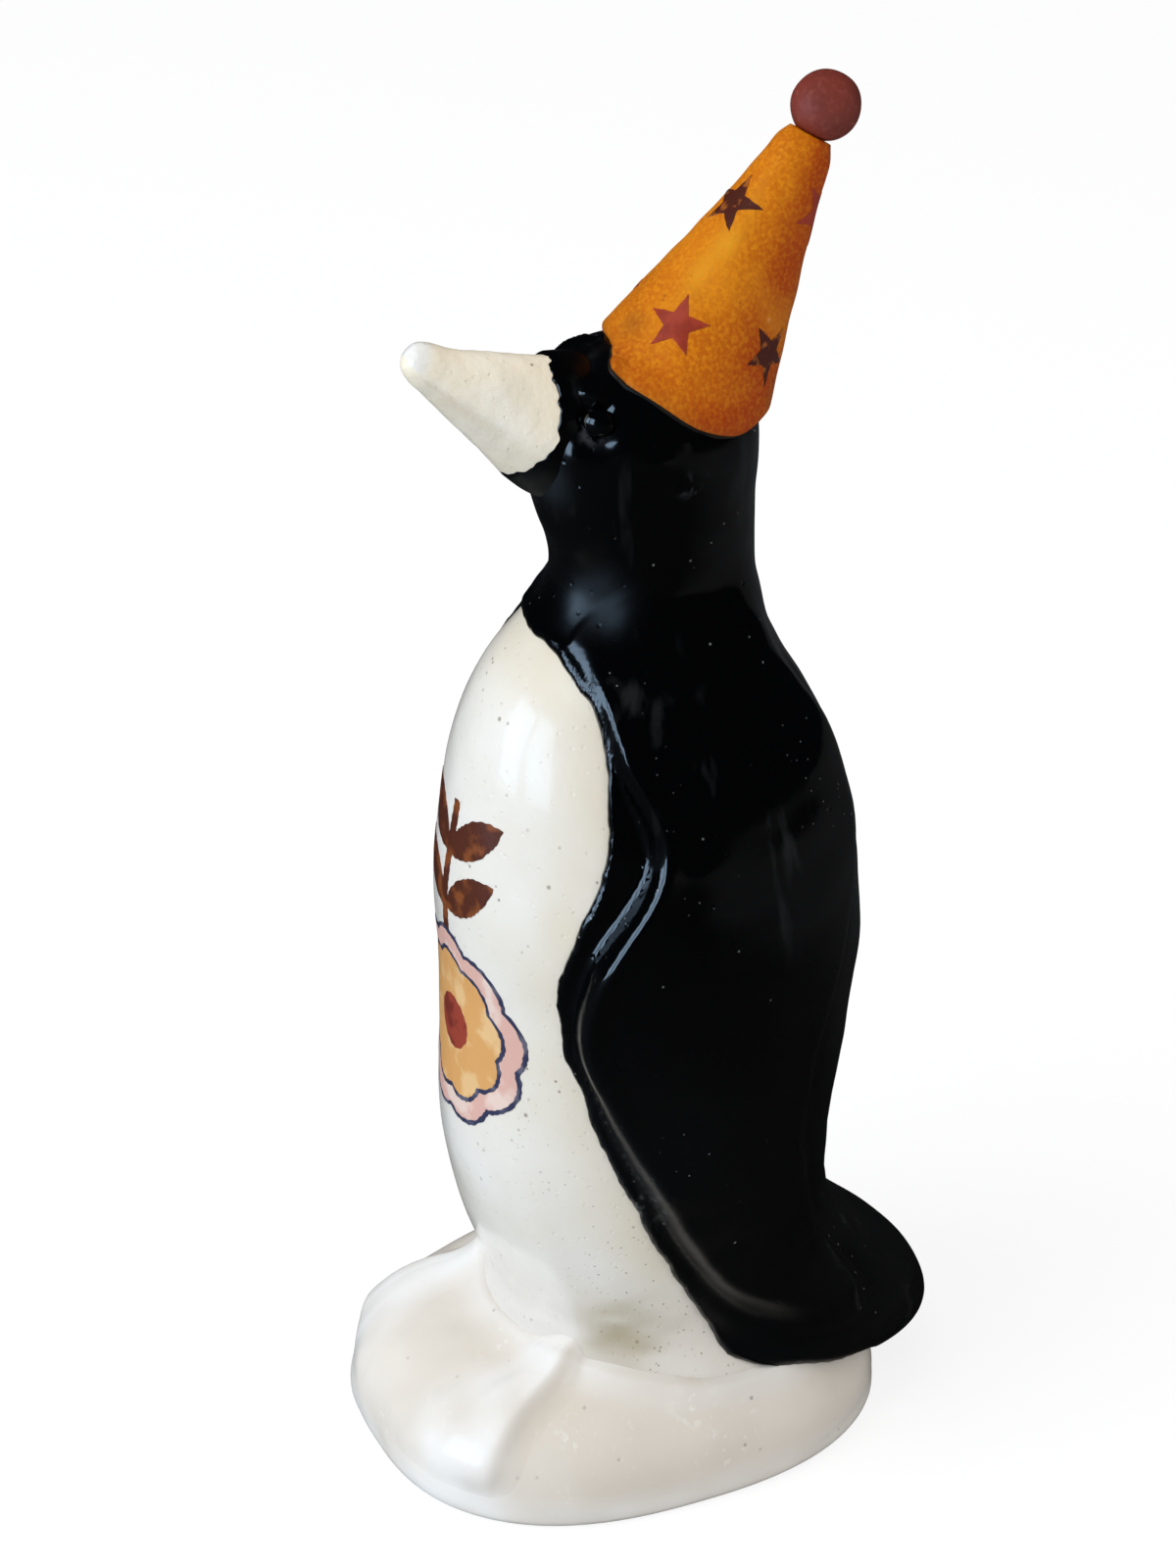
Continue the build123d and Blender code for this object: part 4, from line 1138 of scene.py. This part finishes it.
maroon = Finish("ball_glaze", (0.205, 0.029, 0.017), 0.55)
maroon.paint((0.140, 0.018, 0.011), maroon.clouds(120, 4, 0.35, 0.7))
maroon.paint((0.31, 0.075, 0.048), maroon.clouds(900, 2, 0.5, 0.75, 0.35))
maroon.bump((maroon.noise(300, 3), 0.0004, 0.25), (maroon.noise(1100, 2), 0.0002, 0.35))
ball_size = BALL_RADIUS - 0.05
ball = ball_middle + ball_direction * (ball_size + 0.10 * wobble(ball_direction * 6, 7, 51))[..., None]
points, faces = ball_mesh(ball, ball_middle, np.array([0, 0, ball_size]))
make_piece("ball", points, faces, maroon, "ball_glaze", "hat_ball")

# Eyes: oval beads of clay, luted in the sockets of the face before the glazing, so that the
# black glaze of the head covers them too.
EYE_TURN, EYE_LEVEL, EYE_SIZE = 41, 214.4, (3.1, 2.5, 1.9)
for name, sign, node in (("eye_left", 1, "left_eye"), ("eye_right", -1, "right_eye")):
    middle = surface_point(EYE_TURN, EYE_LEVEL) * [sign, 1, 1]
    outward = np.array([sign * 0.66, -0.75, 0.02])
    outward /= np.linalg.norm(outward)
    side = np.cross([0, 0, 1], outward)
    side /= np.linalg.norm(side)
    eye = middle
    for k, axis in enumerate((side, np.cross(outward, side), outward)):
        eye = eye + (ball_direction[..., k:k + 1] * EYE_SIZE[k]) * axis
    points, faces = ball_mesh(eye, middle, outward * EYE_SIZE[2])
    make_piece(name, points, faces, black, "black_glaze", node)

# Flower on the belly: a print in five colours, laid on as a transfer and fired. It follows the
# glaze under it.
FLOWER_LEVEL = SEAT_LEVEL + 0.351 * BODY_HEIGHT
PETALS, PETAL_REACH, PETAL_WIDTH, HEART, BORDER, LINE = 9, 15.0, 11.0, 5.5, 4.5, 0.9
STEM_WIDTH, STEM_LENGTH, LEAF_LENGTH, LEAF_WIDTH, LEAF_ANGLE = 2.4, 27.0, 17.0, 7.0, math.radians(35)
FILM, FILM_SINK = 0.09, 0.3
# a finer grid of the belly's front: across and up from the flower's middle, in millimetres
across, up = np.meshgrid(np.linspace(-23, 23, 190), np.linspace(-23, 50, 300))
levels_of_rows = body_surface[..., 2].mean(1)


def belly_point(x, z):
    """The body's surface where a line from the front meets it."""
    row = np.interp(z, levels_of_rows, np.arange(ROWS))
    low = np.clip(np.floor(row).astype(int), 0, ROWS - 2)
    part = row - low
    width = half_widths[low, 0] * (1 - part) + half_widths[low + 1, 0] * part
    depth = half_depths[low, 0] * (1 - part) + half_depths[low + 1, 0] * part
    centre = centres[low, 0] * (1 - part) + centres[low + 1, 0] * part
    turn = np.arctan2(x / width, np.sqrt(np.maximum(0, 1 - (x / width) ** 2)))
    y = centre - depth * np.cos(turn)
    angle = np.arctan2(x, centre - y)
    column = (angle + math.pi) / (2 * math.pi) * COLUMNS
    left = np.floor(column).astype(int)
    share = column - left
    result = 0
    for r, wr in ((low, 1 - part), (low + 1, part)):
        for k, wk in ((left, 1 - share), (left + 1, share)):
            result = result + body_surface[r, k % COLUMNS] * (wr * wk)[..., None]
    return result


def petals(reach, width):
    """Signed depth inside a ring of round petals and the disc that joins them."""
    middle = reach - width / 2
    depth = middle - np.hypot(across, up)
    for step in range(PETALS):
        angle = math.radians(90 + step * 360 / PETALS)
        gap = np.hypot(across - middle * math.cos(angle), up - middle * math.sin(angle))
        depth = np.maximum(depth, width / 2 - gap)
    return depth


def leaf(side, start):
    """Signed depth inside a leaf on one side of the stem."""
    bulge = (LEAF_LENGTH ** 2 / 4 + LEAF_WIDTH ** 2 / 4) / LEAF_WIDTH
    x, y = side * across, up - start
    along = x * math.cos(LEAF_ANGLE) + y * math.sin(LEAF_ANGLE) - LEAF_LENGTH / 2
    over = -x * math.sin(LEAF_ANGLE) + y * math.cos(LEAF_ANGLE)
    offset = bulge - LEAF_WIDTH / 2
    return bulge - np.maximum(np.hypot(along, over + offset), np.hypot(along, over - offset))


ragged = 0.16 * np.sin(across * 2.1 + 3 * np.sin(up * 0.9)) * np.sin(up * 1.7 + across)


def grown_petals(growth, line=0.0):
    """The ring of petals, grown outwards, with or without a line round it."""
    return petals(PETAL_REACH + growth + line, PETAL_WIDTH + growth + 2 * line) + ragged


heart = HEART - np.hypot(across, up) + ragged
petal, petal_lined = grown_petals(0.0), grown_petals(0.0, LINE)
border, border_lined = grown_petals(BORDER), grown_petals(BORDER, LINE)
stem_start = PETAL_REACH + BORDER
stem_sides = STEM_WIDTH / 2 - np.abs(across - 0.5 * np.sin(up / 6))
leaves = np.minimum(stem_sides, np.minimum(up - stem_start + 2, stem_start + STEM_LENGTH - up))
for place_share in (0.20, 0.62):
    for side in (-1, 1):
        leaves = np.maximum(leaves, leaf(side, stem_start + place_share * STEM_LENGTH))
leaves = np.minimum(leaves + ragged, -border_lined)
lines = np.maximum(np.minimum(petal_lined, -petal), np.minimum(border_lined, -border))

# colour of the print: its depth inside the outline, the two tones, and the scale of their spots
FLOWER = {
    "heart": (heart, (0.33, 0.050, 0.028), (0.20, 0.028, 0.018), 260),
    "petals": (np.minimum(petal, -heart), (0.70, 0.36, 0.12), (0.78, 0.50, 0.23), 150),
    "border": (np.minimum(border, -petal_lined), (0.70, 0.42, 0.35), (0.78, 0.60, 0.52), 140),
    "lines": (lines, (0.035, 0.04, 0.09), (0.12, 0.12, 0.17), 300),
    "leaves": (leaves, (0.09, 0.022, 0.010), (0.22, 0.06, 0.015), 220),
}
FLOWER_SLOTS = {"heart": "heart_transfer", "petals": "petal_transfer", "border": "border_transfer",
                "lines": "line_transfer", "leaves": "leaf_transfer"}
film = belly_point(across, FLOWER_LEVEL + up)
film_normals = grid_normals(film, False)
film_above, film_below = (
    (film + film_normals * height).reshape(-1, 3) for height in (FILM, -FILM_SINK))
film_cells = grid_triangles(*across.shape, False)
for part, (keep, colour, second, scale) in FLOWER.items():
    points, faces, (lower,) = cut(film_above, film_cells, keep.ravel(), [film_below])
    points, faces = shell(points, lower, faces)
    ink = print_finish("print_" + part, colour, second, scale)
    make_piece("print_" + part, points, faces, ink, FLOWER_SLOTS[part], "flower_" + part)

# Bedding: a bead of slip between the hat's rim and the head, squeezed out as the hat was pressed on.
# It follows the rim. Its near-black colour is painted shade, the shadow line under the rim.
BEAD_RADIUS, BEAD_STEPS = 0.42, 180
# near-black: painted shade for the shadow line under the hat's rim
slip = Finish("bed_slip", (0.008, 0.008, 0.008), 0.5)
slip.paint((0.03, 0.02, 0.01), slip.clouds(200, 3, 0.4, 0.7))
slip.bump((slip.noise(400, 3), 0.0003, 0.3))
bead_tree = geometry_tree("slip_bead", "Bead", [
    ("Path", "Geometry"), ("Radius", "Float"), ("Finish", "Material"),
], [
    ("path", "GeometryNodeMeshToCurve", {}),
    ("uneven", "ShaderNodeTexNoise", {"Scale": 180}),
    ("thick", "ShaderNodeMapRange", {"To Min": 0.6, "To Max": 1.4}),
    ("radius", "GeometryNodeSetCurveRadius", {}),
    ("section", "GeometryNodeCurvePrimitiveCircle", {"Resolution": 14}),
    ("bead", "GeometryNodeCurveToMesh", {}),
] + ENDING, [
    "given.Path > path.Mesh", "path.Curve > radius.Curve", "uneven.Fac > thick.Value",
    "thick.Result > radius.Radius", "given.Radius > section.Radius", "radius.Curve > bead.Curve",
    "section.Curve > bead.Profile Curve", "bead.Mesh > smooth.Geometry",
] + ENDING_LINKS)
rim_angles = full_turn(BEAD_STEPS)[0]
rim_path = over_head(hat_point(rim_angles, hat_rim(rim_angles) + 0.006, -1.7), -0.1)
path_mesh = bpy.data.meshes.new("slip_path")
loop = [(k, (k + 1) % BEAD_STEPS) for k in range(BEAD_STEPS)]
path_mesh.from_pydata((rim_path * MM).tolist(), loop, [])
bead = bpy.data.objects.new("slip_bed", path_mesh)
bpy.context.scene.collection.objects.link(bead)
bead.data = run_tree(bead, bead_tree, {"Radius": BEAD_RADIUS * MM, "Finish": slip.material})
dress(bead, "bed_slip", "hat_bedding")

# Slab: the floor of bare, matt clay that closes the mound underneath, luted in before the firing.
# It is kept as it was built, with its vent hole.
clay = Finish("bare_clay", (0.62, 0.52, 0.40), 0.8)
clay.paint((0.50, 0.40, 0.29), clay.clouds(90, 5, 0.35, 0.7))
clay.bump((clay.noise(500, 4), 0.0004, 0.4))
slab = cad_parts["base_floor"].data
for index in range(len(slab.materials)):
    slab.materials[index] = clay.material

# Stage: white paper floor and backdrop, two windows that the glaze mirrors, two soft lamps that
# it doesn't, and the camera of the photograph.
CAMERA, TARGET = (0.5619, -0.2605, 0.465), (0.0, -0.0057, 0.138)
FOCAL_PIXELS, FRAME_PIXELS, SENSOR = 3860, 1600, 36.0
FLOOR_SIZE, FLOOR_GLOW, GLOW_SHARE = 6.0, 1.1, 0.75
WHITE = (1, 1, 1, 1)


def mix_shaders(tree, share, first, second, end):
    """Mixes two shaders and links them to the tree's output."""
    mixer = tree.nodes.new("ShaderNodeMixShader")
    for socket, source in zip(mixer.inputs, (share, first.outputs[0], second.outputs[0])):
        tree.links.new(source, socket)
    tree.links.new(mixer.outputs[0], tree.nodes[end].inputs["Surface"])


bpy.ops.mesh.primitive_plane_add(size=FLOOR_SIZE, location=(0, 0, 0))
floor = bpy.context.object
floor.name = "floor"
paper = Finish("paper", (0.84, 0.84, 0.84), 0.9)
rays = paper.tree.nodes.new("ShaderNodeLightPath")
# the glaze mirrors a dark floor, which is greyer behind the bird
place = paper.add("ShaderNodeSeparateXYZ", {}, "Vector", paper.place)
mirrored_floor = blend_colour(paper.tree, (0.012, 0.012, 0.013), (0.060, 0.062, 0.066),
                              paper.remap(place.outputs["Y"], 0.12, 0.40))
paper.paint(mirrored_floor, rays.outputs["Is Glossy Ray"])
glow = paper.tree.nodes.new("ShaderNodeEmission")
glow.inputs["Color"].default_value = WHITE
glow.inputs["Strength"].default_value = FLOOR_GLOW
share = paper.tree.nodes.new("ShaderNodeMath")
share.operation = "MULTIPLY"
share.inputs[1].default_value = GLOW_SHARE
paper.tree.links.new(rays.outputs["Is Camera Ray"], share.inputs[0])
mix_shaders(paper.tree, share.outputs["Value"], paper.shader, glow, "Material Output")
floor.data.materials.append(paper.material)

world = bpy.data.worlds.new("studio")
bpy.context.scene.world = world
world.use_nodes = True
tree = world.node_tree
rays = tree.nodes.new("ShaderNodeLightPath")
room = blend_colour(tree, (0.585, 0.59, 0.595), (0.006, 0.007, 0.009), rays.outputs["Is Glossy Ray"])
tree.links.new(room, tree.nodes["Background"].inputs["Color"])
backdrop = tree.nodes.new("ShaderNodeBackground")
backdrop.inputs["Color"].default_value = WHITE
mix_shaders(tree, rays.outputs["Is Camera Ray"], tree.nodes["Background"], backdrop, "World Output")


def aim(thing, place, target):
    """Puts a lamp or camera in its place and turns it to its target."""
    thing.location = place
    thing.rotation_euler = (Vector(target) - Vector(place)).to_track_quat("-Z", "Y").to_euler()


def add_lamp(name, place, target, width, height, power, colour, mirrored):
    """A rectangular lamp, which the glaze mirrors or doesn't."""
    data = bpy.data.lights.new(name, "AREA")
    data.shape, data.size, data.size_y = "RECTANGLE", width, height
    data.energy, data.color = power, colour
    lamp = bpy.data.objects.new(name, data)
    bpy.context.scene.collection.objects.link(lamp)
    lamp.visible_glossy = mirrored
    aim(lamp, place, target)


for name, place in (("window_left", (-0.28, -1.5, 0.42)), ("window_right", (0.30, -1.47, 0.42))):
    add_lamp(name, place, (0, 0, 0.12), 0.48, 0.85, 4.5, (0.52, 0.74, 1.0), True)
add_lamp("overhead", (0.1, -0.9, 1.4), (0, 0, 0.1), 0.9, 0.9, 11.5, (1.0, 0.96, 0.91), False)
add_lamp("room", (1.1, 1.2, 0.6), (0, 0, 0.12), 0.7, 1.2, 2.5, (1.0, 0.97, 0.94), False)

camera_data = bpy.data.cameras.new("camera")
camera_data.sensor_fit = "VERTICAL"
camera_data.sensor_height = SENSOR
camera_data.lens = FOCAL_PIXELS / FRAME_PIXELS * SENSOR
camera_data.clip_start = 0.01
camera = bpy.data.objects.new("camera", camera_data)
bpy.context.scene.collection.objects.link(camera)
aim(camera, CAMERA, TARGET)
bpy.context.scene.camera = camera
bpy.context.scene.view_settings.view_transform = "Standard"
